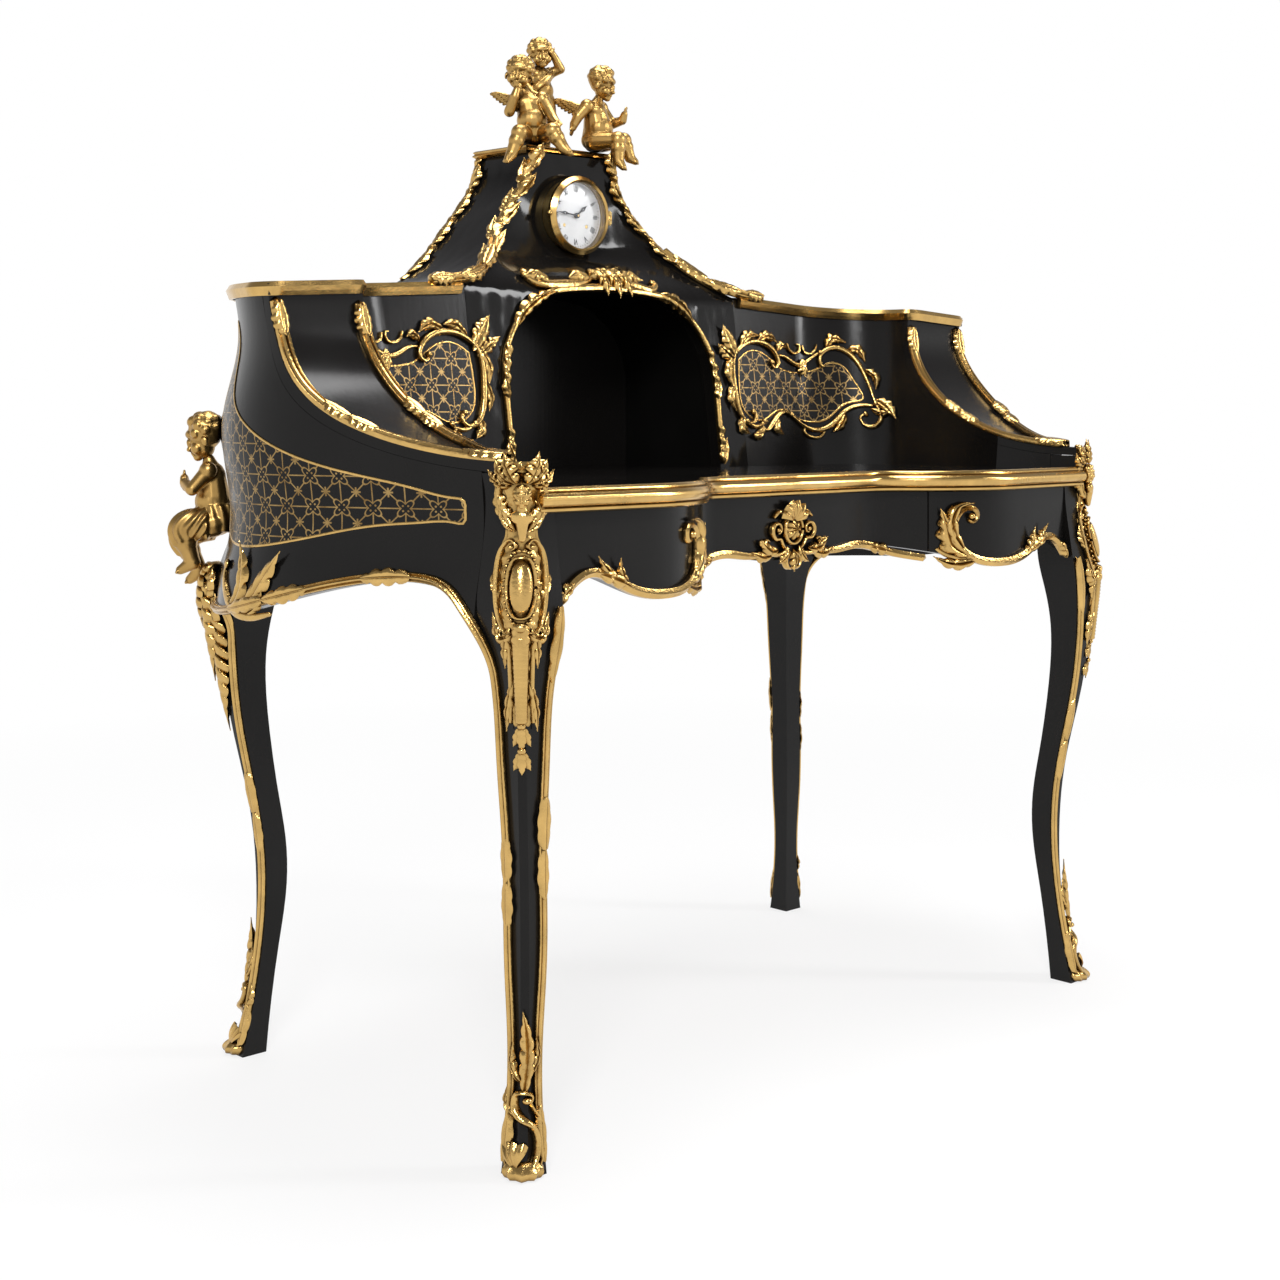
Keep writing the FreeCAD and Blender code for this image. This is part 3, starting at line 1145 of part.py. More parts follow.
def build():
    nodes = {}
    hollow = well(0)
    for sx, side in ((LEFT, "left"), (RIGHT, "right")):
        top = ARM_FRONT_HEIGHT - COVER_THICKNESS - FIT_GAP
        post = leg(sx, FRONT, top)
        cavity = hollow if sx == LEFT else mirrored(hollow)
        nodes["leg_front_" + side] = largest(post.cut(cavity))
        nodes["leg_back_" + side] = leg(sx, BACK, shelf_z(HALF_X + 12) - SHELF_THICKNESS - 2)
    pairs = {"side_panel": side_panel(), "arm_cover": ramp_cover(), "well_wall": inner_wall(),
             "shelf": shelf_board(), "tower_side": tower_side()}
    for name, shape in pairs.items():
        nodes[name + "_left"] = shape
        nodes[name + "_right"] = mirrored(shape)
    nodes["table_top"] = table_top()
    nodes["back_panel"] = back_panel()
    nodes["tower_back"] = tower_back()
    nodes["centre_panel"] = centre_panel()
    nodes["niche_lining"] = niche_lining()
    x = PLATFORM_HALF_WIDTH
    nodes["platform"] = block(-x, PLATFORM_FRONT_Y, TOWER_TOP_HEIGHT, x, PLATFORM_BACK_Y,
                              TOWER_TOP_HEIGHT + PLATFORM_THICKNESS)
    nodes["drawer_dividers"] = drawer_dividers()
    nodes["drawer_runners"] = drawer_runners()

    # Drawers with their gilt
    outer = STILE_X - DRAWER_SIDE_GAP
    inner = DRAWER_SPLIT_X + DRAWER_SIDE_GAP / 2
    middle = DRAWER_SPLIT_X - DRAWER_SIDE_GAP / 2
    box_outer = STILE_X - 6
    box_inner = DIVIDER_X + DIVIDER_THICKNESS + 2
    front = drawer_front(-outer, -inner)
    box = drawer_box(-box_outer, -box_inner)
    scroll = drawer_moulding(-outer + 8, -inner - 22)
    leaf = drawer_leaf(-296, 652, -250, 694)
    gilt = Part.makeCompound([scroll, leaf])
    nodes["drawer_left_front"] = front
    nodes["drawer_left_box"] = box
    nodes["drawer_left_mount"] = gilt
    nodes["drawer_right_front"] = mirrored(front)
    nodes["drawer_right_box"] = mirrored(box)
    nodes["drawer_centre_front"] = drawer_front(-middle, middle)
    nodes["drawer_centre_box"] = drawer_box(-middle + 3, middle - 3)
    nodes["drawer_centre_mount"] = drawer_moulding(-middle + 10, middle - 10)

    # Gilt mouldings and mounts
    nodes["table_edge"] = edge_moulding()
    gilded = {"arm_edges": [ramp_moulding(True), ramp_moulding(False)], "cornice": [cornice()],
              "tower_edges": [tower_edge(True), tower_edge(False)],
              "side_apron_edges": [side_apron_moulding()], "apron_leaves": [apron_leaf()]}
    for name, shapes in gilded.items():
        nodes[name] = Part.makeCompound(shapes + [mirrored(shape) for shape in shapes])
    nodes["cartouche_left"] = cartouche_frame()
    nodes["platform_edge"] = platform_moulding()
    nodes["niche_edge"] = niche_moulding()
    nodes["corner_mount_left"] = front_mount(LEFT)
    nodes["leg_drops"] = Part.makeCompound([back_drop(LEFT), back_drop(RIGHT)])
    nodes["sabots"] = Part.makeCompound([sabot(sx, sy) for sx in (LEFT, RIGHT) for sy in (FRONT, BACK)])
    strips = []
    for sx in (LEFT, RIGHT):
        for sy in (FRONT, BACK):
            strips += leg_strips(sx, sy)
    nodes["leg_strips"] = Part.makeCompound(strips)

    # Figures
    seat = TOWER_TOP_HEIGHT + PLATFORM_THICKNESS + 1
    nodes["putto_left"] = putto(Vector(-54, 256, seat), 228, SEATED_CHILD, 62, 66)
    nodes["putto_right"] = putto(Vector(62, 249, seat), 295, LEANING_CHILD, 64, 0)
    nodes["putto_back"] = putto(Vector(-4, 322, seat - 1), 262, STANDING_CHILD, 118, 0, 42.0)
    corner = Vector(-HALF_X - 20, HALF_Y + 14, KNEE_HEIGHT + 22)
    nodes["corner_figure_left"] = figure(corner, 140, KNEELING_CHILD)

    # Clock
    nodes["clock_drum"] = clock_drum()
    nodes["clock_movement"] = movement()
    nodes["clock_dial"] = dial()
    nodes["clock_bezel"] = bezel()
    nodes["clock_glass"] = glass()
    nodes["clock_hinge_pin"] = upright(HINGE_PIN_RADIUS, -HINGE_HALF - 2, HINGE_HALF + 2)
    nodes["hour_hand"] = hand(HOUR_LENGTH, 3.4, HOUR_Y, PIPE_RADIUS - 0.8 + RUNNING_GAP, HOUR_REST)
    nodes["minute_hand"] = hand(MINUTE_LENGTH, 2.8, MINUTE_Y, ARBOR_RADIUS + RUNNING_GAP, MINUTE_REST)
    for name, carriers in CARRIERS:
        nodes[name] = fitted(nodes[name], [nodes[carrier] for carrier in carriers])
        if "left" in name and not name.startswith("putto"):
            nodes[name.replace("left", "right")] = mirrored(nodes[name])
    return nodes


def export(nodes):
    box = FreeCAD.BoundBox()
    for shape in nodes.values():
        box.add(shape.optimalBoundingBox(False))
    shift = Vector(0, -(box.YMin + box.YMax) / 2, 0)
    os.makedirs("parts", exist_ok=True)
    for name, shape in nodes.items():
        shape.translate(shift)
        shape.exportStep("parts/" + name + ".step")
    print("nodes", len(nodes), "shift", round(shift.y, 3))


export(build())
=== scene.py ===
import math

import bpy
import numpy as np
from mathutils import Matrix, Vector


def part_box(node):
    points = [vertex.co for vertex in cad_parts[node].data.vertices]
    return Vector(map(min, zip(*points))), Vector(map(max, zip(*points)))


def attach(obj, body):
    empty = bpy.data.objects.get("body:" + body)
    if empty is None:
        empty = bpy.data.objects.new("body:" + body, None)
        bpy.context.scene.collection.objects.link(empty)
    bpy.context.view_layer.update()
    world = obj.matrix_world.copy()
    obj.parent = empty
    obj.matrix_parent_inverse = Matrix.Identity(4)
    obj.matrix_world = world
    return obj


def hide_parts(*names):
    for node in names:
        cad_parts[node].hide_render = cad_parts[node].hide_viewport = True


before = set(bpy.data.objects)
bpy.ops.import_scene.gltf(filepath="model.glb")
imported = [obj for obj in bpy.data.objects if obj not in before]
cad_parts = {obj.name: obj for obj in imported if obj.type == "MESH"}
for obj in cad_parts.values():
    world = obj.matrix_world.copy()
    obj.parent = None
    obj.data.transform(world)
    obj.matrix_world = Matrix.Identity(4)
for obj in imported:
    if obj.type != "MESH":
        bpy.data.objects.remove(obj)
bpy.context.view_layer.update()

# Sizes of the carcass in millimetres, as in the part's source
HALF_X = 540.5
HALF_Y = 292.0
KNEE = 625.0
TABLE_Z = 760.0
SHELF_Z = 1023.0
TOWER_TOP = 1226.0
RISE = TOWER_TOP - SHELF_Z
WELL_HALF = 508.0
WELL_FLARE = 28.0
WELL_BACK = 122.0
WELL_LEAN = 34.0
WELL_RADIUS = 125.0
WELL_TURN = 1.45
WALL_START = 210.0
CENTRE_HALF = 266.0
SWEEP_START = 993.0
BACK_HALF = 498.5
BACK_Y = 300.0
BACK_BOW = 55.0
DRAWER_SETBACK = 6.0
ARM_TOP = 984.0
ARM_DROP = 192.0
ARM_LENGTH = 312.0
PLATFORM_FRONT = 247.0
PLATFORM_Z = 1239.0
CLOCK_Z = 1137.0
DIAL_FRONT = 223.75
ROOT2 = math.sqrt(2)
MM = 0.001
DEPTH_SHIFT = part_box("platform")[0][1] / MM - PLATFORM_FRONT
LEFT, RIGHT = -1, 1
FRONT, BACK = -1, 1
SIDES = ((LEFT, "left"), (RIGHT, "right"))


# Curves

def fair(*knots):
    """Natural cubic spline through (position, value) knots, for arrays."""
    x = np.array([k[0] for k in knots], float)
    v = np.array([k[1] for k in knots], float)
    n = len(x)
    h = np.diff(x)
    rows = np.eye(n)
    load = np.zeros(n)
    for i in range(1, n - 1):
        rows[i, i - 1:i + 2] = h[i - 1], 2 * (h[i - 1] + h[i]), h[i]
        load[i] = 6 * ((v[i + 1] - v[i]) / h[i] - (v[i] - v[i - 1]) / h[i - 1])
    bend = np.linalg.solve(rows, load)

    def value(p):
        p = np.clip(np.asarray(p, float), x[0], x[-1])
        i = np.clip(np.searchsorted(x, p, side="right") - 1, 0, n - 2)
        a = (x[i + 1] - p) / h[i]
        b = 1 - a
        curve = ((a ** 3 - a) * bend[i] + (b ** 3 - b) * bend[i + 1]) * h[i] ** 2 / 6
        return a * v[i] + b * v[i + 1] + curve

    return value


def travel_of(points):
    """Share of the whole way at which each point lies."""
    gaps = np.linalg.norm(np.diff(np.array(points, float), axis=0), axis=1)
    return np.concatenate(([0], np.cumsum(gaps))) / gaps.sum()


def unit(v):
    return v / np.maximum(np.linalg.norm(v, axis=-1, keepdims=True), 1e-9)


def stack(*parts):
    return np.stack(np.broadcast_arrays(*parts), -1)


def path(points):
    """Smooth line through points; gives places and directions for u from 0 to 1."""
    points = np.array(points, float)
    travel = travel_of(points)
    parts = [fair(*zip(travel, points[:, k])) for k in range(points.shape[1])]

    def place(u):
        return np.stack([part(u) for part in parts], -1)

    def value(u):
        return place(u), unit(place(np.minimum(u + 0.004, 1)) - place(np.maximum(u - 0.004, 0)))

    return value


def flat_line(points):
    """Smooth flat line; gives places, directions and directions across."""
    line = path(points)

    def value(u):
        place, ahead = line(u)
        return place, ahead, np.stack((-ahead[:, 1], ahead[:, 0]), -1)

    return value


def spiral(centre, r0, r1, start, turns, count=14):
    """Points of a volute that winds in from r0 to r1; start in degrees."""
    points = []
    for i in range(count):
        share = i / (count - 1)
        a = math.radians(start) + 2 * math.pi * turns * share
        r = r0 + (r1 - r0) * share
        points.append((centre[0] + r * math.cos(a), centre[1] + r * math.sin(a)))
    return points


def oval(wide, high, t, count):
    return [(wide * math.cos(a), t + high * math.sin(a)) for a in np.linspace(0, 2 * math.pi, count)]


def mirrored(points, s):
    return [(s * x, z) for x, z in points]


def circle(v):
    turn = 2 * np.pi * v
    return np.cos(turn), np.sin(turn)


def rounded(u, share):
    """Falls to 0 at both ends, over a share of the length."""
    return np.sqrt(np.clip(np.minimum(u, 1 - u) / share, 0, 1))


def domed(up, power):
    """Upper half of a section, flattened by a power."""
    return np.maximum(up, 0) ** power


# Faces of the carcass that carry the ornament

leg_outer = fair((0, 12), (0.1 * KNEE, -6), (0.22 * KNEE, -19), (0.35 * KNEE, -22), (0.52 * KNEE, -13),
                 (0.72 * KNEE, 14), (0.87 * KNEE, 26), (KNEE, 30), (1.1 * KNEE, 16), (1.14 * KNEE, 12),
                 (1.25 * KNEE, 16))
back_outer = fair((0.87 * KNEE, 26), (KNEE, 30), (1.14 * KNEE, 2), (836, 22), (938, -20), (994, -8))
leg_inner = fair((0, -39), (0.1 * KNEE, -45), (0.22 * KNEE, -55), (0.35 * KNEE, -66), (0.45 * KNEE, -65),
                 (0.6 * KNEE, -50), (0.76 * KNEE, -39), (0.88 * KNEE, -41), (0.96 * KNEE, -52),
                 (1.03 * KNEE, -59.4), (2 * KNEE, -59.4))
side_swell = fair((-352, 0), (-304, 0), (-0.49 * HALF_Y, 66), (0.15 * HALF_Y, 127), (0.685 * HALF_Y, 62.2),
                  (304, 0), (382, 0))
tower_half = fair((SHELF_Z, CENTRE_HALF), (SHELF_Z + 0.08 * RISE, 230), (SHELF_Z + 0.2 * RISE, 194),
                  (SHELF_Z + 0.45 * RISE, 146), (SHELF_Z + 0.62 * RISE, 115), (SHELF_Z + 0.78 * RISE, 91),
                  (TOWER_TOP, 76))
table_front = fair((0, -209), (130, -211), (195, -227), (232, -265), (262, -286), (310, -304), (380, -308),
                   (520.5, -303), (600.5, -301))
side_apron_z = fair((-250, 604), (-222, 640), (-185, 655), (-130, 653), (-52, 636), (30, 615), (110, 602),
                    (180, 600), (250, 598))


def well_share(z):
    return (z - TABLE_Z) / (SHELF_Z - TABLE_Z)


def well_half(z):
    return WELL_HALF + WELL_FLARE * well_share(z)


def lean_y(z):
    return WELL_BACK + WELL_LEAN * well_share(z)


sweep_edge = fair((SWEEP_START, lean_y(SWEEP_START)), (SHELF_Z, lean_y(SHELF_Z) + 2),
                  (SHELF_Z + 0.2 * RISE, 191), (SHELF_Z + 0.45 * RISE, 226),
                  (SHELF_Z + 0.65 * RISE, 236), (TOWER_TOP, 229))
sweep_middle = fair((SWEEP_START, lean_y(SWEEP_START)), (SHELF_Z, lean_y(SHELF_Z) + 3),
                    (SHELF_Z + 0.1 * RISE, 180), (SHELF_Z + 0.2 * RISE, 211), (SHELF_Z + 0.3 * RISE, 229),
                    (SHELF_Z + 0.45 * RISE, 237), (TOWER_TOP, 230))


def centre_y(x, z):
    """Depth of the niche and tower front."""
    width = np.where(z > SHELF_Z, tower_half(np.maximum(z, SHELF_Z)), CENTRE_HALF)
    middle = np.maximum(1 - (x / width) ** 2, -0.5)
    high = sweep_edge(z) + (sweep_middle(z) - sweep_edge(z)) * middle
    return np.where(z < SWEEP_START, lean_y(z), high)


def corner_out(z, back):
    z = np.asarray(z, float)
    return np.where((z > 0.9 * KNEE) & back, back_outer(z), leg_outer(z))


def side_x(y, z):
    share = np.clip((y + HALF_Y) / (2 * HALF_Y), 0, 1)
    corner = corner_out(z, False) * (1 - share) + corner_out(z, True) * share
    return HALF_X + corner / ROOT2 + side_swell(y)


def flare(z):
    """How far a leg has widened into the side panel, from 0 to 1."""
    share = np.clip((z / KNEE - 0.88) / 0.16, 0, 1)
    return share * share * (3 - 2 * share)


def on_side(sx):
    """Bombe side: s towards the back, t up."""
    def lay(s, t, h):
        return stack(sx * (side_x(s, t) + h), s, t)
    return lay


def on_drawer(sx):
    """Serpentine drawer fronts: s outwards from the middle, t up."""
    def lay(s, t, h):
        a = np.abs(s)
        slope = (table_front(a + 1) - table_front(a - 1)) / 2 * np.sign(s)
        scale = 1 / np.sqrt(1 + slope ** 2)
        return stack(sx * (s + slope * scale * h), table_front(a) + DRAWER_SETBACK - scale * h, t)
    return lay


def on_wall(sx):
    """Wall of the writing well: s along it from the niche side, t up."""
    def lay(s, t, h):
        start = well_half(t) - WELL_RADIUS
        back = lean_y(t)
        x = WALL_START + s
        a = np.clip((x - start) / WELL_RADIUS, 0, WELL_TURN)
        bent_x = start + (WELL_RADIUS - h) * np.sin(a)
        bent_y = back - WELL_RADIUS + (WELL_RADIUS - h) * np.cos(a)
        return stack(sx * np.where(x < start, x, bent_x), np.where(x < start, back - h, bent_y), t)
    return lay


def on_centre(s, t, h):
    """Niche and tower front: s to the right, t up."""
    lean = (centre_y(s, t + 6) - centre_y(s, t - 6)) / 12
    scale = 1 / np.sqrt(1 + lean ** 2)
    return stack(s, centre_y(s, t) - scale * h, t + lean * scale * h)


def soft(s, ease):
    return (s + np.sqrt(s * s + ease * ease)) / 2


def fold(edge, first, second, s, t, h, ease=8.0):
    """Lays ornament round a corner: s below 0 runs along the first face, above 0 along the second."""
    place = edge + first * soft(-s, ease)[..., None] + second * soft(s, ease)[..., None]
    turn = np.tanh(s / ease)[..., None]
    out = unit(-(second * (1 - turn) + first * (1 + turn)))
    place = place + out * np.asarray(h)[..., None]
    return np.concatenate((place, np.broadcast_to(t, s.shape)[..., None]), -1)


def on_leg(sx, sy):
    """Outer corner of a leg: s below 0 on the side face, above 0 on the front or back face."""
    def lay(s, t, h):
        s, t, h = np.broadcast_arrays(np.asarray(s, float), t, h)
        out = corner_out(t, sy > 0) / ROOT2
        edge = np.stack((sx * (HALF_X + out), sy * (HALF_Y + out)), -1)
        far = sy * (HALF_Y + leg_inner(t) / ROOT2)
        wider = (side_x(far, t) - np.abs(edge[..., 0])) * flare(t)
        reach = wider / np.maximum(np.abs(far - edge[..., 1]), 1)
        first = unit(np.stack((sx * reach, np.full_like(reach, -sy)), -1))
        second = np.stack((np.full_like(reach, -sx), np.zeros_like(reach)), -1)
        return fold(edge, first, second, s, t, h)
    return lay


def on_tower(sx, front):
    """Upright corner of the tower: s below 0 on its side, above 0 on its front or back."""
    def lay(s, t, h):
        s, t, h = np.broadcast_arrays(np.asarray(s, float), t, h)
        x = tower_half(t)
        y = centre_y(x, t) if front else BACK_Y + BACK_BOW * (1 - (x / BACK_HALF) ** 2)
        edge = np.stack((sx * x, y), -1)
        first = np.broadcast_to(np.array([0.0, 1.0 if front else -1.0]), edge.shape)
        second = np.broadcast_to(np.array([-sx, 0.0]), edge.shape)
        return fold(edge, first, second, s, t, h, 4.0)
    return lay


def along(points, normals):
    """Surface that follows a line in space: s from 0 to 1 along it, t across, h out."""
    line = path(points)
    travel = travel_of(points)
    normals = np.array(normals, float)

    def lay(s, t, h):
        s = np.asarray(s, float)
        place, ahead = line(s)
        out = stack(*(np.interp(s, travel, normals[:, k]) for k in range(3)))
        across = unit(np.cross(ahead, out))
        out = np.cross(across, ahead)
        t, h = np.broadcast_arrays(t, h)
        return place + across * t[..., None] + out * h[..., None]
    return lay


# Modelling by primitives and modifiers

MERGE = 1e-5


def chosen_alone(piece):
    bpy.ops.object.select_all(action="DESELECT")
    piece.select_set(True)
    bpy.context.view_layer.objects.active = piece


def sheet(nu, nv, form):
    """Grid whose points are moved to form(u, v)."""
    bpy.ops.object.select_all(action="DESELECT")
    bpy.ops.mesh.primitive_grid_add(x_subdivisions=nu, y_subdivisions=nv, size=2)
    piece = bpy.context.object
    flat = np.empty(len(piece.data.vertices) * 3)
    piece.data.vertices.foreach_get("co", flat)
    flat = flat.reshape(-1, 3)
    points = form((flat[:, 0] + 1) / 2, (flat[:, 1] + 1) / 2)
    piece.data.vertices.foreach_set("co", ((points + np.array([0, DEPTH_SHIFT, 0])) * MM).ravel())
    piece.data.update()
    return piece


def applied(piece, kind, **values):
    modifier = piece.modifiers.new(kind, kind)
    for key, value in values.items():
        setattr(modifier, key, value)
    bpy.context.view_layer.objects.active = piece
    bpy.ops.object.modifier_apply(modifier=modifier.name)


def joined(parts):
    chosen_alone(parts[0])
    for part in parts:
        part.select_set(True)
    if len(parts) > 1:
        bpy.ops.object.join()
    return bpy.context.object


def closed(piece, merge=MERGE):
    """Merges doubled points and turns every face outwards."""
    chosen_alone(piece)
    bpy.ops.object.mode_set(mode="EDIT")
    bpy.ops.mesh.select_all(action="SELECT")
    bpy.ops.mesh.remove_doubles(threshold=merge)
    bpy.ops.mesh.dissolve_degenerate(threshold=merge / 4)
    bpy.ops.mesh.normals_make_consistent(inside=False)
    bpy.ops.object.mode_set(mode="OBJECT")
    return piece


def smoothed(piece, angle):
    chosen_alone(piece)
    bpy.ops.object.shade_smooth_by_angle(angle=math.radians(angle))


def finished(name, nodes, bars, leaves=(), body="desk", finish=None, wall=1.4, angle=50):
    """One named piece from closed bars and thin leaves, in its finish, on its body."""
    parts = list(bars)
    if leaves:
        thin = closed(joined(list(leaves)))
        applied(thin, "SOLIDIFY", thickness=wall * MM, offset=-1.0)
        parts.append(thin)
    piece = closed(joined(parts))
    piece.name = name
    piece.data.name = name
    smoothed(piece, angle)
    piece.data.materials.clear()
    piece.data.materials.append(finish or gilt)
    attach(piece, body)
    if nodes:
        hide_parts(*nodes)


# Ornament drawn flat and laid on a face

def leaf(on, spine, width, lobes=4, rise=5.0, curl=4.0, base=0.8, grid=(30, 8), notch=0.45):
    """Acanthus leaf with a grooved middle, ribbed lobes and a lifted tip."""
    line = flat_line(spine)

    def form(u, v):
        v = 2 * v - 1
        edge = np.abs(v)
        c, ahead, across = line(u)
        body = (0.34 * (1 - u) + np.sin(np.pi * u ** 0.8)) * np.sqrt(np.clip(1 - u ** 6, 0, 1))
        lobe = np.abs(np.sin(np.pi * lobes * u)) ** 0.55
        half = width * body * (1 - notch * (1 - lobe) * edge ** 0.8)
        flat = c + across * (v * half)[:, None] + ahead * (0.5 * width * body * edge ** 1.4)[:, None]
        vein = np.exp(-(v / 0.17) ** 2)
        swell = np.clip(body, 0, 1)
        h = base + rise * swell * (1 - edge ** 2.4) - 0.45 * rise * swell * vein
        h = h + rise * swell * lobe * edge * (1 - edge) + curl * u ** 3
        return on(flat[:, 0], flat[:, 1], h)

    return sheet(*grid, form)


def scroll(on, spine, width, height, start=0.5, stop=0.5, base=0.2, grid=(44, 10)):
    """Closed moulded bar along a flat line; start and stop are the end widths."""
    line = flat_line(spine)

    def form(u, v):
        c, ahead, across = line(u)
        grow = np.where(u < 0.5, start + (1 - start) * np.sin(np.pi * np.minimum(u, 0.5)),
                        stop + (1 - stop) * np.sin(np.pi * np.minimum(1 - u, 0.5)))
        cap = rounded(u, 0.012)
        a, up = circle(v)
        groove = 1 - 0.2 * (1 - np.abs(np.cos(np.pi * (a + 1))) ** 0.8)
        b = np.where(up > 0, domed(up, 0.7) * groove, 0.25 * up)
        flat = c + across * (a * width / 2 * grow * cap)[:, None]
        h = base + height * (0.5 + 0.5 * grow) * b * cap + height * 0.15 * (1 - cap)
        return on(flat[:, 0], flat[:, 1], h)

    return sheet(*grid, form)


def twist(on, spine, width, height, turns):
    """Ribbon-bound stretch of a moulding."""
    line = flat_line(spine)

    def form(u, v):
        c, ahead, across = line(u)
        a, up = circle(v)
        wave = 1 + 0.14 * np.cos(2 * np.pi * (turns * u + v))
        cap = rounded(u, 0.02)
        flat = c + across * (a * width / 2 * wave * cap)[:, None]
        return on(flat[:, 0], flat[:, 1], 0.3 + height * (0.5 + 0.5 * up) * wave * cap)

    return sheet(90, 12, form)


def bead(on, s, t, r, rise, base=0.2, grid=(10, 10), long=1.0):
    """Rounded boss, round or oval."""
    def form(u, v):
        a = np.pi * u
        c, up = circle(v)
        return on(s + r * np.sin(a) * c, t + r * long * np.sin(a) * up, base + rise * 0.5 * (1 + np.cos(a)))

    return sheet(*grid, form)


def shell(on, s, t, radius, turn, fan, flutes, rise, base, grid=(10, 44)):
    """Fan of flutes round its root; turn is the middle direction in degrees."""
    def form(u, v):
        w = 2 * v - 1
        a = np.radians(turn + fan * w)
        wave = np.cos(np.pi * flutes * (w + 1))
        r = radius * (0.12 + 0.88 * u) * (1 - 0.1 * u * (1 + wave) / 2)
        h = base + rise * np.sin(np.pi * (0.15 + 0.62 * u)) - 0.3 * rise * u * (1 + wave) / 2
        return on(s + r * np.cos(a), t + r * np.sin(a), h)

    return sheet(*grid, form)


def rosette(on, s, t, r, petals, rise, base):
    def form(u, v):
        wave = np.abs(np.cos(petals * np.pi * v)) ** 0.7
        a, up = circle(v)
        ring = r * u * (0.72 + 0.28 * wave)
        h = base + rise * (np.sin(np.pi * (0.1 + 0.8 * u)) * (0.6 + 0.4 * wave) + np.exp(-(u / 0.25) ** 2))
        return on(s + ring * a, t + ring * up, h)

    return sheet(6, 36, form)


def husk(on, s, t, size):
    """Bellflower drop: three petals hanging from one point; the small cup above them is a bead added by the caller.
    """
    petals = []
    for lean, long in ((-0.42, 0.85), (0.42, 0.85), (0.0, 1.0)):
        middle = (s + lean * size * 0.55, t - size * 0.5)
        tip = (s + lean * size * 0.9, t - size * long)
        base = 1.0 if lean else 2.4
        petals.append(leaf(on, [(s, t), middle, tip], size * 0.2, 3, 4, 3, base, (12, 5), 0.3))
    return petals


def reeded(points, normals, width, height, count=60, reeds=2):
    """Moulded gilt strip along a line in space, closed at both ends."""
    on = along(points, normals)

    def form(u, v):
        a, up = circle(v)
        cap = rounded(u, 0.006)
        dip = np.abs(np.cos(np.pi * reeds / 2 * (a + 1))) ** 0.7
        b = np.where(up > 0, domed(up, 0.6) * (0.4 + 0.6 * dip), 0.2 * up)
        return on(u, a * width / 2 * cap, 0.3 + height * b * cap)

    return sheet(count, 28, form)


def wrap(on, s0, s1, width, height, lobes=3):
    """Leaf clasp lying along a strip from s0 to s1."""
    def form(u, v):
        v = 2 * v - 1
        edge = np.abs(v)
        body = np.sin(np.pi * np.clip(0.12 + 0.88 * u, 0, 1)) ** 0.6
        lobe = np.abs(np.sin(np.pi * lobes * u)) ** 0.6
        half = width * body * (1 - 0.35 * (1 - lobe) * edge)
        arch = np.sqrt(np.clip(1 - 0.9 * v * v, 0, 1))
        h = height * arch * (0.75 + 0.25 * body) - 0.25 * height * np.exp(-(v / 0.2) ** 2) * body
        return on(s0 + (s1 - s0) * (u + 0.06 * edge * body), v * half, h + 0.5)

    return sheet(16, 8, form)


def wraps(on, stretches, *values):
    return [wrap(on, s0, s1, *values) for s0, s1 in stretches]


def scrolls(on, rows, s=1):
    return [scroll(on, mirrored(spine, s), *values) for spine, *values in rows]


def leafage(on, rows, s=1):
    return [leaf(on, mirrored(spine, s), *values) for spine, *values in rows]


def beads(on, rows, s=1):
    return [bead(on, s * x, *values) for x, *values in rows]


# Figures

def axes_of(heading):
    a = math.radians(heading)
    return np.array([[math.cos(a), math.sin(a), 0], [-math.sin(a), math.cos(a), 0], [0, 0, 1]])


def turned(axes, yaw, nod, tilt=0):
    """Axes of a head turned, nodded and tilted against its body."""
    n, k = math.radians(nod), math.radians(tilt)
    about_left = np.array([[math.cos(n), 0, -math.sin(n)], [0, 1, 0], [math.sin(n), 0, math.cos(n)]])
    about_ahead = np.array([[1, 0, 0], [0, math.cos(k), math.sin(k)], [0, -math.sin(k), math.cos(k)]])
    return about_ahead @ about_left @ axes_of(yaw) @ axes


def ellipsoid(centre, radii, axes, grid=(12, 16)):
    def form(u, v):
        a = np.pi * u
        c, up = circle(v)
        return np.array(centre) + stack(np.sin(a) * c, np.sin(a) * up, np.cos(a)) * np.array(radii) @ axes

    return sheet(*grid, form)


def ball(centre, radius, axes, grid=(12, 16)):
    return ellipsoid(centre, (radius,) * 3, axes, grid)


def capsule(p, q, r0, r1, grid=(14, 12)):
    p = np.array(p, float)
    q = np.array(q, float)
    ahead = unit(q - p)
    side = unit(np.cross(ahead, np.array([0.31, 0.17, 0.93])))
    other = np.cross(ahead, side)
    length = np.linalg.norm(q - p)

    def form(u, v):
        near = np.clip(u / 0.25, 0, 1) * np.pi / 2
        tail = np.clip((u - 0.75) / 0.25, 0, 1) * np.pi / 2
        share = np.clip((u - 0.25) / 0.5, 0, 1)
        radius = (r0 + (r1 - r0) * share) * np.sin(near) * np.cos(tail)
        place = -r0 * np.cos(near) + length * share + r1 * np.sin(tail)
        c, up = circle(v)
        return p + ahead * place[:, None] + side * (radius * c)[:, None] + other * (radius * up)[:, None]

    return sheet(*grid, form)


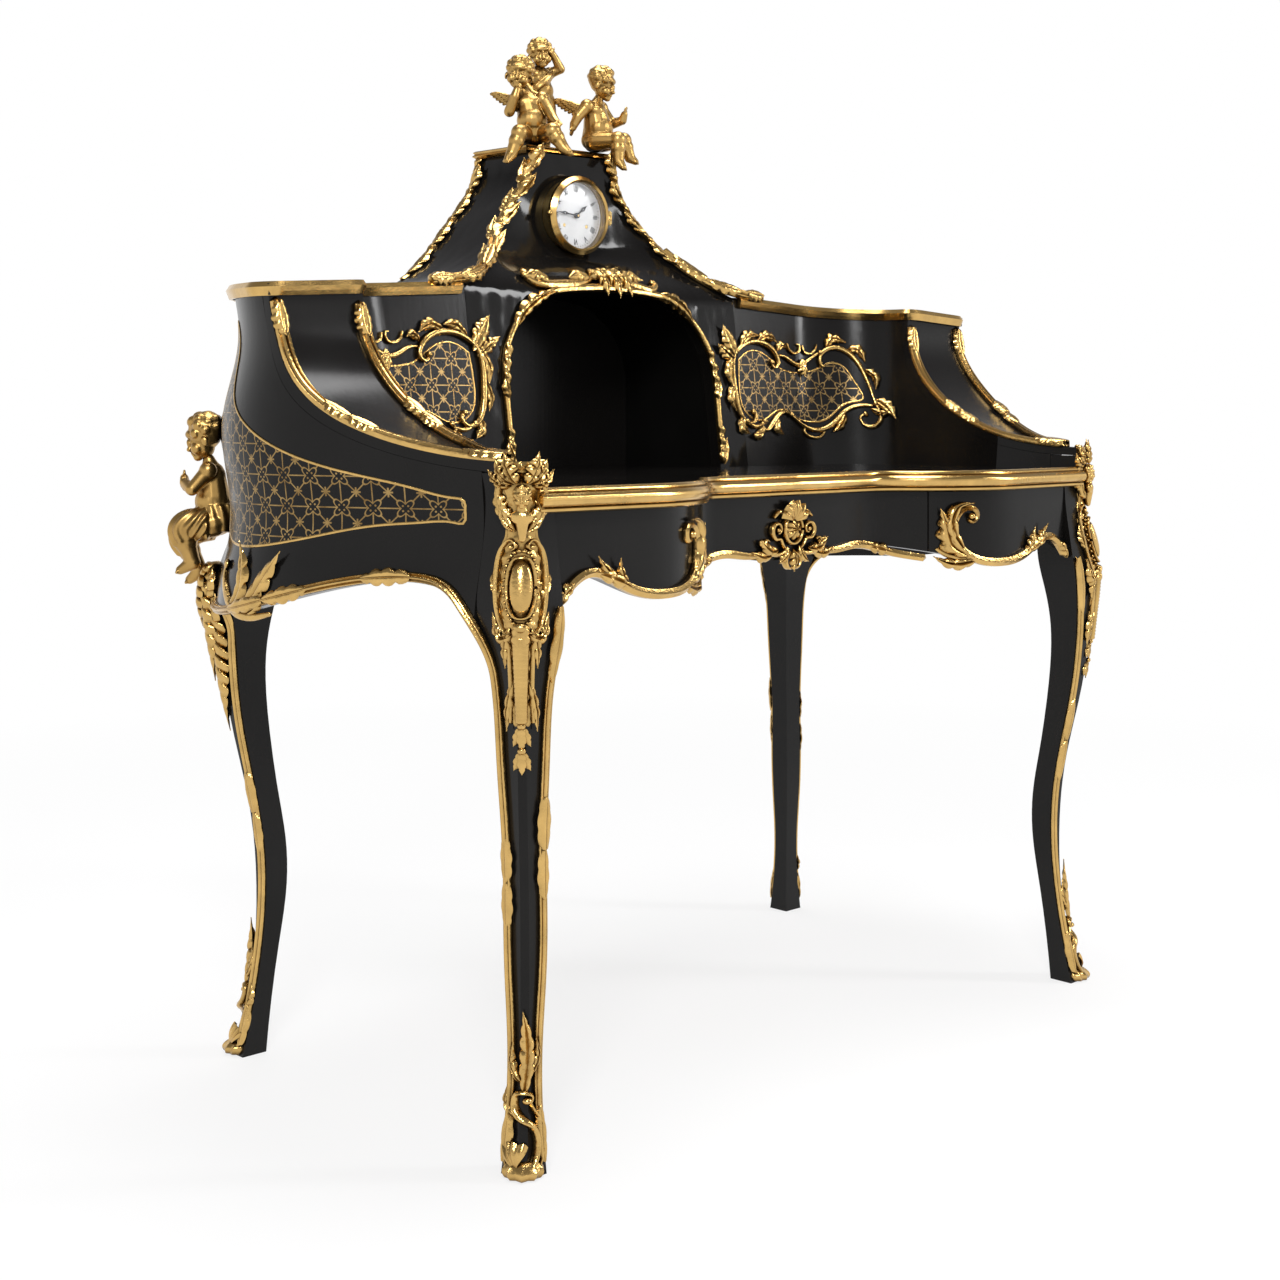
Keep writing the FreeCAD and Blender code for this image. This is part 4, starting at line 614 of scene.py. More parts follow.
# Head of unit size: places and radii of its forms, ahead, left and up
HEAD_RADIUS = 20.5
HEAD_FORMS = [((-2, 0, 5), (18.5, 19.5, 19.5)), ((5, 0, -8), (12.5, 14.5, 14.5)), ((11, 9, -9), (7, 7, 7)),
              ((11, -9, -9), (7, 7, 7)), ((14, 0, -18), (5.5, 6, 4.5)), ((12.8, 0, 8), (6.4, 12.5, 5.5)),
              ((18.4, 0, -2), (2.9, 2.4, 6)), ((20.4, 0, -7), (3.2, 3.5, 2.8)),
              ((18.0, 0, -12.2), (2.6, 5.2, 1.6)), ((17.4, 0, -15), (2.4, 4.2, 1.6)),
              ((13.6, 7, -0.8), (2.8, 3.5, 2.3)), ((13.6, -7, -0.8), (2.8, 3.5, 2.3)),
              ((-1, 19.5, -5), (4, 2.2, 5.5)), ((-1, -19.5, -5), (4, 2.2, 5.5))]
HAIR_CAP = ((-5.5, 0, 8.5), (18.5, 20, 18.5))
HAIR_MIDDLE = np.array([-2.5, 0, 6])
HAIR_REACH = np.array([16.4, 15.6, 16])
# Rings of curls: height in degrees, count, radius, first turn
HAIR_RINGS = ((86, 1, 8, 0), (58, 6, 8, 0.5), (28, 9, 7.6, 0), (2, 9, 7.2, 0.5))


def head(centre, axes, size):
    def form(place, radii, grid):
        place = np.array(centre, float) + np.array(place) * size @ axes
        return ellipsoid(place, np.array(radii) * size, axes, grid)

    parts = [form(place, radii, (10, 14)) for place, radii in HEAD_FORMS]
    parts.append(form(*HAIR_CAP, (12, 16)))
    for height, count, r, first in HAIR_RINGS:
        a = math.radians(height)
        for k in range(count):
            turn = 2 * math.pi * (k + first) / count
            d = np.array([math.cos(a) * math.cos(turn), math.cos(a) * math.sin(turn), math.sin(a)])
            over_face = d[0] > 0.62 and d[2] < 0.5 or d[0] > 0.3 and d[2] < 0.0
            if not over_face:
                parts.append(form(d * HAIR_REACH + HAIR_MIDDLE, (r, r, r * 0.85), (6, 8)))
    return parts


def hand(place, ahead, axes, size):
    """Palm, four fingers and a thumb."""
    ahead = unit(ahead)
    side = unit(np.cross(ahead, axes[0] + 0.2 * axes[2]))
    parts = [ellipsoid(place, (4.6 * size, 4.6 * size, 4.2 * size), axes, (8, 10))]
    for k in range(4):
        root = place + side * (k - 1.5) * 2.3 * size + ahead * 2.5 * size
        tip = root + ahead * (7.5 - abs(k - 1.4)) * size
        parts.append(capsule(root, tip, 1.5 * size, 1.2 * size, (8, 8)))
    root = place + side * 3.4 * size
    parts.append(capsule(root, root + (ahead * 0.6 + side * 0.8) * 5 * size, 1.6 * size, 1.3 * size, (8, 8)))
    return parts


def foot(place, end, axes, size):
    ahead = unit(end - place)
    side = unit(np.cross(ahead, axes[2]))
    parts = [capsule(place, end, 5.6 * size, 4.2 * size)]
    for k in range(5):
        tip = end + ahead * (3.6 - 0.5 * k) * size + side * (k - 2) * 1.9 * size
        parts.append(ball(tip, 1.9 * size, axes, (6, 8)))
    return parts


def child(place, heading, chains, look):
    """Forms of a rounded child's body and of its head; look is the head's turn, nod and tilt."""
    axes = axes_of(heading)
    trunk, *limbs = chains

    def spot(joint):
        return np.array(place, float) + np.array(joint[:3], float) @ axes

    parts = []
    for chain in [trunk[:-1]] + limbs:
        for p, q in zip(chain, chain[1:]):
            parts.append(capsule(spot(p), spot(q), p[3] * 0.94, q[3] * 0.9))
    for arm in limbs[:2]:
        wrist, end = spot(arm[-2]), spot(arm[-1])
        parts += hand(end, end - wrist, axes, arm[-1][3] / 5.0)
        parts.append(ball(spot(arm[0]), arm[0][3] * 1.1, axes))
    for leg in limbs[2:]:
        knee, r = spot(leg[1]), leg[1][3]
        parts += foot(spot(leg[-2]), spot(leg[-1]), axes, leg[-1][3] / 5.0)
        parts.append(ball(knee, r, axes))
        parts.append(ball(0.62 * knee + 0.38 * spot(leg[2]), r * 0.92, axes))
    hip, waist, chest = [np.array(joint[:3], float) for joint in trunk[:3]]
    r = trunk[1][3]
    parts.append(ellipsoid(spot(waist + (4, 0, -3)), (r * 0.86, r * 0.95, r * 0.86), axes))
    for s in (LEFT, RIGHT):
        parts.append(ball(spot(hip + (-4, s * 8, -2)), r * 0.62, axes))
        parts.append(ellipsoid(spot(chest + (5, s * 6.5, 0)), (r * 0.5, r * 0.48, r * 0.42), axes))
    return parts, head(spot(trunk[-1]), turned(axes, *look), trunk[-1][3] / HEAD_RADIUS)


def cast(parts, voxel, rounds):
    """One smooth casting from overlapping forms."""
    body = closed(joined(parts), 2 * MERGE)
    applied(body, "REMESH", mode="VOXEL", voxel_size=voxel * MM)
    applied(body, "SMOOTH", factor=0.5, iterations=rounds)
    return body


# Feathers of a wing: count and length of each row, lowest and highest direction in degrees
WING_ROWS = ((8, 0.52), (7, 0.36), (5, 0.22))
WING_LOW = -58.0
WING_HIGH = 10.0


def feather(on, half, base):
    def form(u, v):
        v = 2 * v - 1
        body = np.sin(np.pi * np.clip(0.06 + 0.9 * u, 0, 1) ** 1.3) ** 0.5
        h = base + 1.6 * (1 - v * v) - 0.9 * np.exp(-(v / 0.2) ** 2) + 0.25 * np.cos(u * 60) * np.abs(v)
        return on(u, v * half * body, h)

    return sheet(14, 6, form)


def feathers(root, axes, reach, side):
    """Long wing that points backwards, its feathers set along the front edge; side is the face that shows."""
    parts = []
    lift = np.array([0.12, side, 0.1]) @ axes
    lead = np.array([-0.95, 0.12 * side, 0.3])
    for row, (count, long) in enumerate(WING_ROWS):
        for k in range(count):
            share = k / (count - 1)
            a = math.radians(WING_LOW + (WING_HIGH - WING_LOW) * share ** 0.7)
            d = np.array([-math.cos(a), 0.12 * side, math.sin(a)])
            start = root + lead * reach * 0.52 * share * (1 - 0.2 * row) @ axes
            tip = start + d * reach * long * (0.7 + 0.3 * share) @ axes
            bend = (start + tip) / 2 + np.array([0, 0, 0.05 * reach * long]) @ axes
            on = along([start, bend, tip], [lift] * 3)
            parts.append(feather(on, reach * 0.075, 1.0 + row * 1.6 + 0.5 * (count - k)))
    return parts


def drape(points, radii, axes, folds, depth):
    """Cloth wound round the body as a folded tube."""
    line = path(points)
    size = fair(*zip(np.linspace(0, 1, len(radii)), radii))

    def form(u, v):
        c, ahead = line(u)
        side = unit(np.cross(ahead, axes[0]))
        other = np.cross(ahead, side)
        a, up = circle(v)
        r = (size(u) + depth * np.cos(2 * np.pi * folds * v + 5 * u)) * rounded(u, 0.08)
        return c + side * (r * a)[:, None] + other * (r * up)[:, None]

    return sheet(36, 90, form)


# Finishes

LACQUER_IOR = 1.4
LACQUER_SHEEN = 0.28


def material(name, **values):
    finish = bpy.data.materials.new(name)
    finish.use_nodes = True
    nodes = finish.node_tree.nodes
    shader = nodes["Principled BSDF"]
    for key, value in values.items():
        shader.inputs[key.replace("_", " ")].default_value = value
    return finish, nodes, finish.node_tree.links, shader


def noise(nodes, links, scale, detail=3.0, stretch=(1, 1, 1), rough=0.55):
    coord = nodes.new("ShaderNodeTexCoord")
    mapping = nodes.new("ShaderNodeMapping")
    mapping.inputs["Scale"].default_value = stretch
    tex = nodes.new("ShaderNodeTexNoise")
    tex.inputs["Scale"].default_value = scale
    tex.inputs["Detail"].default_value = detail
    tex.inputs["Roughness"].default_value = rough
    links.new(coord.outputs["Object"], mapping.inputs["Vector"])
    links.new(mapping.outputs["Vector"], tex.inputs["Vector"])
    return tex.outputs["Fac"]


def ramp(nodes, links, source, *stops):
    node = nodes.new("ShaderNodeValToRGB")
    band = node.color_ramp
    while len(band.elements) < len(stops):
        band.elements.new(0.5)
    for element, (place, colour) in zip(band.elements, stops):
        element.position = place
        element.color = (*colour, 1)
    links.new(source, node.inputs["Fac"])
    return node.outputs["Color"]


def spread(nodes, links, source, low, high, lo=0.3, hi=0.7):
    """Maps a source from lo..hi to low..high."""
    node = nodes.new("ShaderNodeMapRange")
    for key, value in (("From Min", lo), ("From Max", hi), ("To Min", low), ("To Max", high)):
        node.inputs[key].default_value = value
    links.new(source, node.inputs["Value"])
    return node.outputs["Result"]


def bump(nodes, links, source, shader, strength, distance):
    node = nodes.new("ShaderNodeBump")
    node.inputs["Strength"].default_value = strength
    node.inputs["Distance"].default_value = distance
    links.new(source, node.inputs["Height"])
    links.new(node.outputs["Normal"], shader.inputs["Normal"])


def blend(nodes, links, share, first, second):
    """Colour mixed from a fixed first colour to a second source."""
    mix = nodes.new("ShaderNodeMix")
    mix.data_type = "RGBA"
    links.new(share, mix.inputs["Factor"])
    mix.inputs[6].default_value = (*first, 1)
    links.new(second, mix.inputs[7])
    return mix.outputs[2]


def lacquer_finish(name, stretch, gloss=(0.16, 0.25), base=(0.0042, 0.0038, 0.0035), wave=0.0006):
    finish, nodes, links, shader = material(name, IOR=LACQUER_IOR, Specular_IOR_Level=LACQUER_SHEEN)
    cloud = noise(nodes, links, 4.0, 4.0)
    tone = ramp(nodes, links, cloud, (0.3, base), (0.75, tuple(c * 1.9 for c in base)))
    links.new(tone, shader.inputs["Base Color"])
    links.new(spread(nodes, links, cloud, *gloss), shader.inputs["Roughness"])
    bump(nodes, links, noise(nodes, links, 1.0, 2.0, stretch), shader, 0.12, wave)
    return finish


def gilt_finish(name, chased=0.4, bright=(0.72, 0.465, 0.16), painted_shade_colour=(0.07, 0.034, 0.009), gloss=(0.28, 0.16),
                near=0.01):
    """Bright on the heights, with painted shade: ambient occlusion darkens the colour in the hollows."""
    finish, nodes, links, shader = material(name, Metallic=1.0)
    cloud = noise(nodes, links, 38.0, 4.0)
    tone = ramp(nodes, links, cloud, (0.3, tuple(c * 0.76 for c in bright)), (0.7, bright))
    # Painted shade: ambient occlusion mixes a dark brown into the colour in hollows and creases
    hollow = nodes.new("ShaderNodeAmbientOcclusion")
    hollow.samples = 6
    hollow.inputs["Distance"].default_value = near
    shade = spread(nodes, links, hollow.outputs["AO"], 0.0, 1.0, 0.25, 0.95)
    links.new(blend(nodes, links, shade, painted_shade_colour, tone), shader.inputs["Base Color"])
    links.new(spread(nodes, links, cloud, *gloss), shader.inputs["Roughness"])
    bump(nodes, links, noise(nodes, links, 170.0, 3.0), shader, chased, 0.002)
    return finish


def plain_finish(name, grain, dark, bright, gloss, relief=0.0, **values):
    """Colour and gloss that follow one noise; grain is its scale, detail, stretch and roughness."""
    finish, nodes, links, shader = material(name, **values)
    cloud = noise(nodes, links, *grain)
    links.new(ramp(nodes, links, cloud, (0.3, dark), (0.7, bright)), shader.inputs["Base Color"])
    links.new(spread(nodes, links, cloud, *gloss), shader.inputs["Roughness"])
    if relief:
        bump(nodes, links, cloud, shader, relief, 0.0008)
    return finish


class Lines:
    """Writes the sums of a pattern as nodes."""

    def __init__(self, nodes, links):
        self.nodes = nodes
        self.links = links

    def do(self, work, *values):
        node = self.nodes.new("ShaderNodeMath")
        node.operation = work
        for socket, value in zip(node.inputs, values):
            if isinstance(value, (int, float)):
                socket.default_value = value
            else:
                self.links.new(value, socket)
        return node.outputs[0]

    def length(self, x, y):
        return self.do("SQRT", self.do("ADD", self.do("MULTIPLY", x, x), self.do("MULTIPLY", y, y)))

    def under(self, value, limit, soft_edge=0.008):
        """1 where value is below the limit, 0 above it."""
        return spread(self.nodes, self.links, value, 1.0, 0.0, limit - soft_edge, limit + soft_edge)


LATTICE_PITCH = 36.0
LATTICE_LINE = 0.026


def lattice_finish():
    """Black lacquer inlaid with brass: flowers on a square net, stars between them, bars that join them."""
    finish, nodes, links, shader = material("brass lattice", IOR=LACQUER_IOR, Specular_IOR_Level=LACQUER_SHEEN)
    m = Lines(nodes, links)
    uv = nodes.new("ShaderNodeUVMap")
    uv.uv_map = "flat"
    split = nodes.new("ShaderNodeSeparateXYZ")
    links.new(uv.outputs["UV"], split.inputs[0])
    half = []
    for axis in ("X", "Y"):
        cell = m.do("DIVIDE", split.outputs[axis], LATTICE_PITCH * MM)
        half.append(m.do("ABSOLUTE", m.do("SUBTRACT", m.do("FRACT", cell), 0.5)))
    x, y = half
    thin = LATTICE_LINE * 0.75
    r = m.length(x, y)
    angle = m.do("ARCTAN2", y, x)
    petal = m.do("MULTIPLY_ADD", m.do("COSINE", m.do("MULTIPLY", angle, 4.0)), -0.09, 0.24)
    flower = m.under(m.do("ABSOLUTE", m.do("SUBTRACT", r, petal)), LATTICE_LINE * 1.1)
    dots = m.under(m.length(m.do("SUBTRACT", x, 0.08), m.do("SUBTRACT", y, 0.08)), 0.032)
    joins = m.do("MULTIPLY", m.under(m.do("MINIMUM", x, y), thin), m.under(m.do("MULTIPLY", r, -1.0), -0.16))
    ex = m.do("SUBTRACT", 0.5, x)
    ey = m.do("SUBTRACT", 0.5, y)
    star = m.length(ex, ey)
    cross = m.do("MULTIPLY", m.do("ABSOLUTE", m.do("SUBTRACT", ex, ey)), 0.7071)
    long_rays = m.do("MULTIPLY", m.under(cross, thin), m.under(star, 0.38))
    short_rays = m.do("MULTIPLY", m.under(m.do("MINIMUM", ex, ey), LATTICE_LINE), m.under(star, 0.15))
    inlay = flower
    for mark in (dots, joins, long_rays, short_rays):
        inlay = m.do("MAXIMUM", inlay, mark)
    cloud = noise(nodes, links, 60.0)
    brass_tone = ramp(nodes, links, cloud, (0.3, (0.2, 0.12, 0.042)), (0.7, (0.42, 0.28, 0.11)))
    links.new(blend(nodes, links, inlay, (0.006, 0.0052, 0.0048), brass_tone), shader.inputs["Base Color"])
    links.new(m.do("MULTIPLY", inlay, 0.85), shader.inputs["Metallic"])
    links.new(spread(nodes, links, cloud, 0.22, 0.36), shader.inputs["Roughness"])
    bump(nodes, links, inlay, shader, 0.25, 0.0003)
    return finish


def glass_finish():
    finish, nodes, links, shader = material("clock glass", Alpha=0.05, IOR=1.5, Base_Color=(0.9, 0.92, 0.93, 1))
    links.new(spread(nodes, links, noise(nodes, links, 20.0, 2.0), 0.02, 0.05), shader.inputs["Roughness"])
    return finish


UPRIGHT_GRAIN = (160, 160, 5)
lacquer = lacquer_finish("black lacquer", UPRIGHT_GRAIN)
top_lacquer = lacquer_finish("table lacquer", (5, 160, 160), (0.07, 0.12))
tower_lacquer = lacquer_finish("tower lacquer", (14, 14, 7), (0.06, 0.11), wave=0.016)
niche_black = lacquer_finish("niche lining", UPRIGHT_GRAIN, (0.35, 0.5), (0.0022, 0.002, 0.0018))
gilt = gilt_finish("gilt bronze")
plain_gilt = gilt_finish("gilt moulding", 0.08)
old_gilt = gilt_finish("figure gilt", 0.012, (0.54, 0.335, 0.11), (0.045, 0.022, 0.005), (0.42, 0.3), 0.008)
oak = plain_finish("drawer oak", (1.0, 6.0, (18, 3, 90), 0.65), (0.25, 0.13, 0.05), (0.46, 0.28, 0.13),
                   (0.62, 0.48), 0.25)
brass = plain_finish("movement brass", (1.0, 3.0, (900, 900, 40)), (0.5, 0.34, 0.12), (0.66, 0.48, 0.2),
                     (0.3, 0.42), Metallic=1.0)
enamel = plain_finish("dial enamel", (60.0,), (0.6, 0.61, 0.63), (0.68, 0.69, 0.7), (0.12, 0.2), Coat_Weight=0.5)
blued = plain_finish("blued steel", (300.0, 2.0), (0.004, 0.004, 0.006), (0.012, 0.013, 0.02), (0.25, 0.4),
                     Metallic=0.7)
glass = glass_finish()
lattice = lattice_finish()

CAD_FINISHES = (
    (top_lacquer, ("table_top",)), (niche_black, ("niche_lining",)), (enamel, ("clock_dial",)),
    (tower_lacquer, ("centre_panel", "tower_side_left", "tower_side_right", "tower_back", "platform")),
    (brass, ("clock_movement", "clock_drum", "clock_hinge_pin")), (glass, ("clock_glass",)),
    (blued, ("hour_hand", "minute_hand")),
    (oak, ("drawer_left_box", "drawer_centre_box", "drawer_right_box", "drawer_runners", "drawer_dividers")),
    (plain_gilt, ("table_edge", "cornice", "clock_bezel", "platform_edge")))
finish_of = {name: finish for finish, names in CAD_FINISHES for name in names}
for name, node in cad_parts.items():
    for place in node.material_slots:
        place.material = finish_of.get(name, lacquer)


# Brass lattice panels

def add_panel(name, on, outline, middle, lift):
    """Inlaid panel inside an outline, with its own flat map, and the brass line round it."""
    edge = flat_line(list(outline) + [outline[0]])
    middle = np.array(middle)

    def form(u, v):
        form.flat = middle + (edge(v)[0] - middle) * u[:, None]
        return on(form.flat[:, 0], form.flat[:, 1], np.full(len(u), lift))

    def wire(u, v):
        rim, ahead, across = edge(u)
        a, up = circle(v)
        flat = rim + across * (1.5 * a)[:, None]
        return on(flat[:, 0], flat[:, 1], lift + 0.1 + 0.7 * up)

    panel = sheet(24, 220, form)
    layer = panel.data.uv_layers.new(name="flat")
    corner = np.empty(len(panel.data.loops), dtype=np.int32)
    panel.data.loops.foreach_get("vertex_index", corner)
    layer.data.foreach_set("uv", (form.flat[corner] * MM).astype(np.float32).ravel())
    panel.name = name
    smoothed(closed(panel, 0.1 * MERGE), 60)
    panel.data.materials.append(lattice)
    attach(panel, "desk")
    finished(name + "_line", (), [sheet(220, 6, wire)])


SIDE_PANEL = [(147, 959), (128, 942), (118, 925), (112, 900), (100, 872), (58, 838), (-16, 803), (-96, 779),
              (-173, 761), (-218, 751), (-226, 749), (-228, 746), (-228, 736), (-228, 726), (-226, 723), (-218, 723),
              (-180, 723), (-135, 719), (-56, 704), (26, 690), (91, 688), (154, 703), (186, 730), (196, 780),
              (190, 850), (174, 920), (160, 956)]
SIDE_PANEL_MIDDLE = (110, 765)
for sx, side in SIDES:
    add_panel("side_lattice_" + side, on_side(sx), SIDE_PANEL, SIDE_PANEL_MIDDLE, 0.8)


# Gilt strips along the edges of the carcass

STRIP_INSET = 7.0
STRIP_LOW = 14.0


def leg_line(sx, sy, on_face, high):
    """Middle line of the strip on a leg's side face, or else on its front or back face."""
    z = np.linspace(STRIP_LOW, high * KNEE, 26)
    out = corner_out(z, sy > 0) / ROOT2
    inner = leg_inner(z) / ROOT2
    if on_face == "side":
        y = sy * (HALF_Y + inner)
        x = HALF_X + out + (side_x(y, z) - HALF_X - out) * flare(z)
        return stack(sx * x, y + sy * STRIP_INSET, z), [(sx, 0, 0)] * len(z)
    return stack(sx * (HALF_X + inner + STRIP_INSET), sy * (HALF_Y + out), z), [(0, sy, 0)] * len(z)


def strip_with_leaves(points, normals, width, height, stretches, count=60, reeds=2, lobes=3):
    """Reeded strip and the leaf clasps on it."""
    clasps = wraps(along(points, normals), stretches, width * 0.78, height * 1.3, lobes)
    return reeded(points, normals, width, height, count, reeds), clasps


LEG_CLASPS = ((0.0, 0.1), (0.56, 0.46), (0.56, 0.66), (1.0, 0.86))
bars, leaves = [], []
for sx, side in SIDES:
    for sy, high in ((FRONT, 1.012), (BACK, 0.945)):
        bar, clasps = strip_with_leaves(*leg_line(sx, sy, "end", high), 11, 7, LEG_CLASPS)
        bars.append(bar)
        leaves += clasps
finished("leg_strips_reeded", ("leg_strips",), bars, leaves)

APRON_CLASPS = ((0.5, 0.36), (0.5, 0.62), (0.86, 0.74))
bars, leaves = [], []
for sx, side in SIDES:
    back, out = leg_line(sx, BACK, "side", 0.9)
    front, out = leg_line(sx, FRONT, "side", 0.9)
    y = np.linspace(244, -236, 34)
    z = side_apron_z(y) + 6
    apron = stack(sx * side_x(y, z), y, z)
    points = np.concatenate((back, apron, front[::-1]))
    bars.append(reeded(points, [(sx, 0, 0)] * len(points), 11, 8, 260))
    leaves += wraps(along(back, out), LEG_CLASPS[:3], 10, 8) + wraps(along(front, out), LEG_CLASPS[:3], 10, 8)
    leaves += wraps(along(apron, [(sx, 0, 0)] * len(apron)), APRON_CLASPS, 11, 8.8, 4)
finished("side_apron_edges_reeded", ("side_apron_edges",), bars, leaves)

EDGE_PROFILE = np.array([(4, 764), (9, 764), (12, 762), (13, 759.5), (11.5, 758), (15, 757), (18.5, 753.5),
                         (19.5, 749.5), (18, 745.5), (15, 742.5), (12.5, 741.5), (14.5, 740), (14.5, 737), (11, 735),
                         (4, 735), (4, 764)])
EDGE_END = HALF_X - 8


def table_moulding():
    """Profiled bronze round the front of the table."""
    on = on_drawer(RIGHT)
    travel = travel_of(EDGE_PROFILE)
    middle = EDGE_PROFILE.mean(axis=0)

    def form(u, v):
        inside = (u > 0.0005) & (u < 0.9995)
        h, z = [middle[k] + (np.interp(v, travel, EDGE_PROFILE[:, k]) - middle[k]) * inside for k in (0, 1)]
        return on(EDGE_END * np.clip((2 * u - 1) * 1.002, -1, 1), z, h)

    return sheet(260, 60, form)


finished("table_edge_moulded", ("table_edge",), [table_moulding()], finish=plain_gilt, angle=40)


def arm_line(sx, outer):
    """Swept edge of an arm, from the shelf down to the front corner."""
    turn = np.radians(np.linspace(0, 86, 30))
    y = -HALF_Y + ARM_LENGTH * np.cos(turn)
    z = ARM_TOP - ARM_DROP * np.sin(turn)
    out = unit(stack(0 * turn, -ARM_DROP * np.cos(turn), ARM_LENGTH * np.sin(turn)))
    x = side_x(y, z) - 9 if outer else well_half(z) + 8 + np.maximum(-y - 0.58 * HALF_Y, 0) * 0.22
    return stack(sx * x, y, z), out


ARM_CLASPS = ((0.02, 0.13), (0.5, 0.4), (0.5, 0.6), (1.0, 0.86))
bars, leaves = [], []
for sx, side in SIDES:
    for outer in (True, False):
        bar, clasps = strip_with_leaves(*arm_line(sx, outer), 17, 9, ARM_CLASPS, 70, 3, 4)
        bars.append(bar)
        leaves += clasps
finished("arm_edges_reeded", ("arm_edges",), bars, leaves)

SPRAY_SCROLL = [([(-14, 614), (28, 607), (64, 614), (96, 634), (112, 658), (104, 668)], 12, 6, 0.4, 0.5)]
SPRAY_LEAVES = [([(74, 614), (52, 632), (50, 660), (62, 694)], 12, 5, 4.5, 9, 1, (40, 10), 0.4),
                ([(48, 610), (26, 626), (4, 654), (-20, 686)], 12, 5, 4.5, 9, 1, (40, 10), 0.4),
                ([(30, 610), (10, 622), (2, 640)], 6, 3, 4, 5, 1)]
bars, leaves = [], []
for sx, side in SIDES:
    on = on_side(sx)
    bars += scrolls(on, SPRAY_SCROLL) + [bead(on, 106, 664, 6, 7)]
    leaves += leafage(on, SPRAY_LEAVES)
finished("side_apron_sprays", ("apron_leaves",), bars, leaves)


def tower_corner(sx, z):
    x = float(tower_half(z))
    return (sx * x, float(centre_y(np.array(x), np.array(float(z)))), z)


TOWER_CLASPS = ((0.42, 0.1), (0.45, 0.75), (0.8, 1.0))
bars, leaves = [], []
for sx, side in SIDES:
    for front in (True, False):
        on = on_tower(sx, front)
        bars.append(scroll(on, [(0, 1036), (0, 1090), (0, 1150), (0, 1218)], 10, 9, 0.8, 0.6, grid=(60, 10)))
        for k in range(8):
            low = 1044 + 22 * k
            lean = 8 if k % 2 else -8
            spine = [(0, low), (lean * 0.5, low + 18), (lean, low + 42)]
            leaves.append(leaf(on, spine, 10, 3, 7, 7, 4, (22, 8), 0.6))
    foot_line = [tower_corner(sx, z) for z in (1092, 1066, 1044)]
    foot_line += [(sx * 266, 154, 1029), (sx * 292, 153, 1025), (sx * 330, 154, 1022)]
    foot_out = [(sx * 0.5, -0.8, 0.3)] * 3 + [(0, -0.8, 0.6)] * 3
    bars.append(reeded(foot_line, foot_out, 16, 11, 50))
    leaves += wraps(along(foot_line, foot_out), TOWER_CLASPS, 13, 13, 4)
finished("tower_edges_leaved", ("tower_edges",), bars, leaves)

# Niche moulding with its crest

HALF_ARCH = [(-209, 764), (-209, 830), (-209, 890), (-203, 930), (-180, 970), (-153, 995), (-119, 1013),
             (-60, 1022)]
ARCH = HALF_ARCH + [(0, 1025)] + mirrored(HALF_ARCH[::-1], -1)
ARCH_TWISTS = (([(209, 786), (209, 822)], 2), ([(209, 880), (206, 908), (199, 938)], 3))
ARCH_LEAVES = [([(209, 764), (212, 780), (217, 804)], 9, 3, 6, 5, 4, (20, 8)),
               ([(208, 862), (210, 874), (214, 892)], 7, 3, 5, 4, 5, (16, 6))]
CREST_SCROLLS = [([(-152, 1038), (-142, 1029), (-112, 1024), (-74, 1026), (-44, 1030), (-22, 1036)],
                  12, 11, 0.6, 0.6, 1),
                 ([(24, 1030), (50, 1031), (76, 1026), (96, 1026), (106, 1033), (98, 1038)], 11, 10, 0.6, 0.5, 1)]
SHOULDER_LEAVES = [([(-186, 962), (-164, 988), (-136, 1006), (-100, 1016)], 10, 5, 7, 4, 4),
                   ([(104, 1018), (128, 1012), (152, 998), (172, 974)], 10, 5, 7, 4, 4)]
CREST = (([(-26, 1036), (-14, 1040), (-4, 1030), (-6, 1012)], 8),
         ([(-8, 1036), (8, 1042), (20, 1030), (18, 1010)], 9),
         ([(12, 1036), (30, 1042), (42, 1030), (42, 1012)], 9), ([(30, 1032), (54, 1040), (80, 1034)], 8),
         ([(-30, 1032), (-50, 1036), (-72, 1032)], 7), ([(-112, 1024), (-130, 1033), (-158, 1032)], 7))
bars = [scroll(on_centre, ARCH, 10, 8, 1.0, 1.0, 0.5, (150, 10)), bead(on_centre, -150, 1037, 7, 12)]
bars += scrolls(on_centre, CREST_SCROLLS)
leaves = leafage(on_centre, SHOULDER_LEAVES)
leaves += [leaf(on_centre, spine, width, 4, 8, 4, 6, (26, 8)) for spine, width in CREST]
for s in (LEFT, RIGHT):
    bars += [twist(on_centre, mirrored(spine, s), 12, 10, turns) for spine, turns in ARCH_TWISTS]
    leaves += leafage(on_centre, ARCH_LEAVES, s)
finished("niche_edge_crested", ("niche_edge",), bars, leaves)

# Cartouches on the well walls: spines with widths and heights, or with widths and lobes

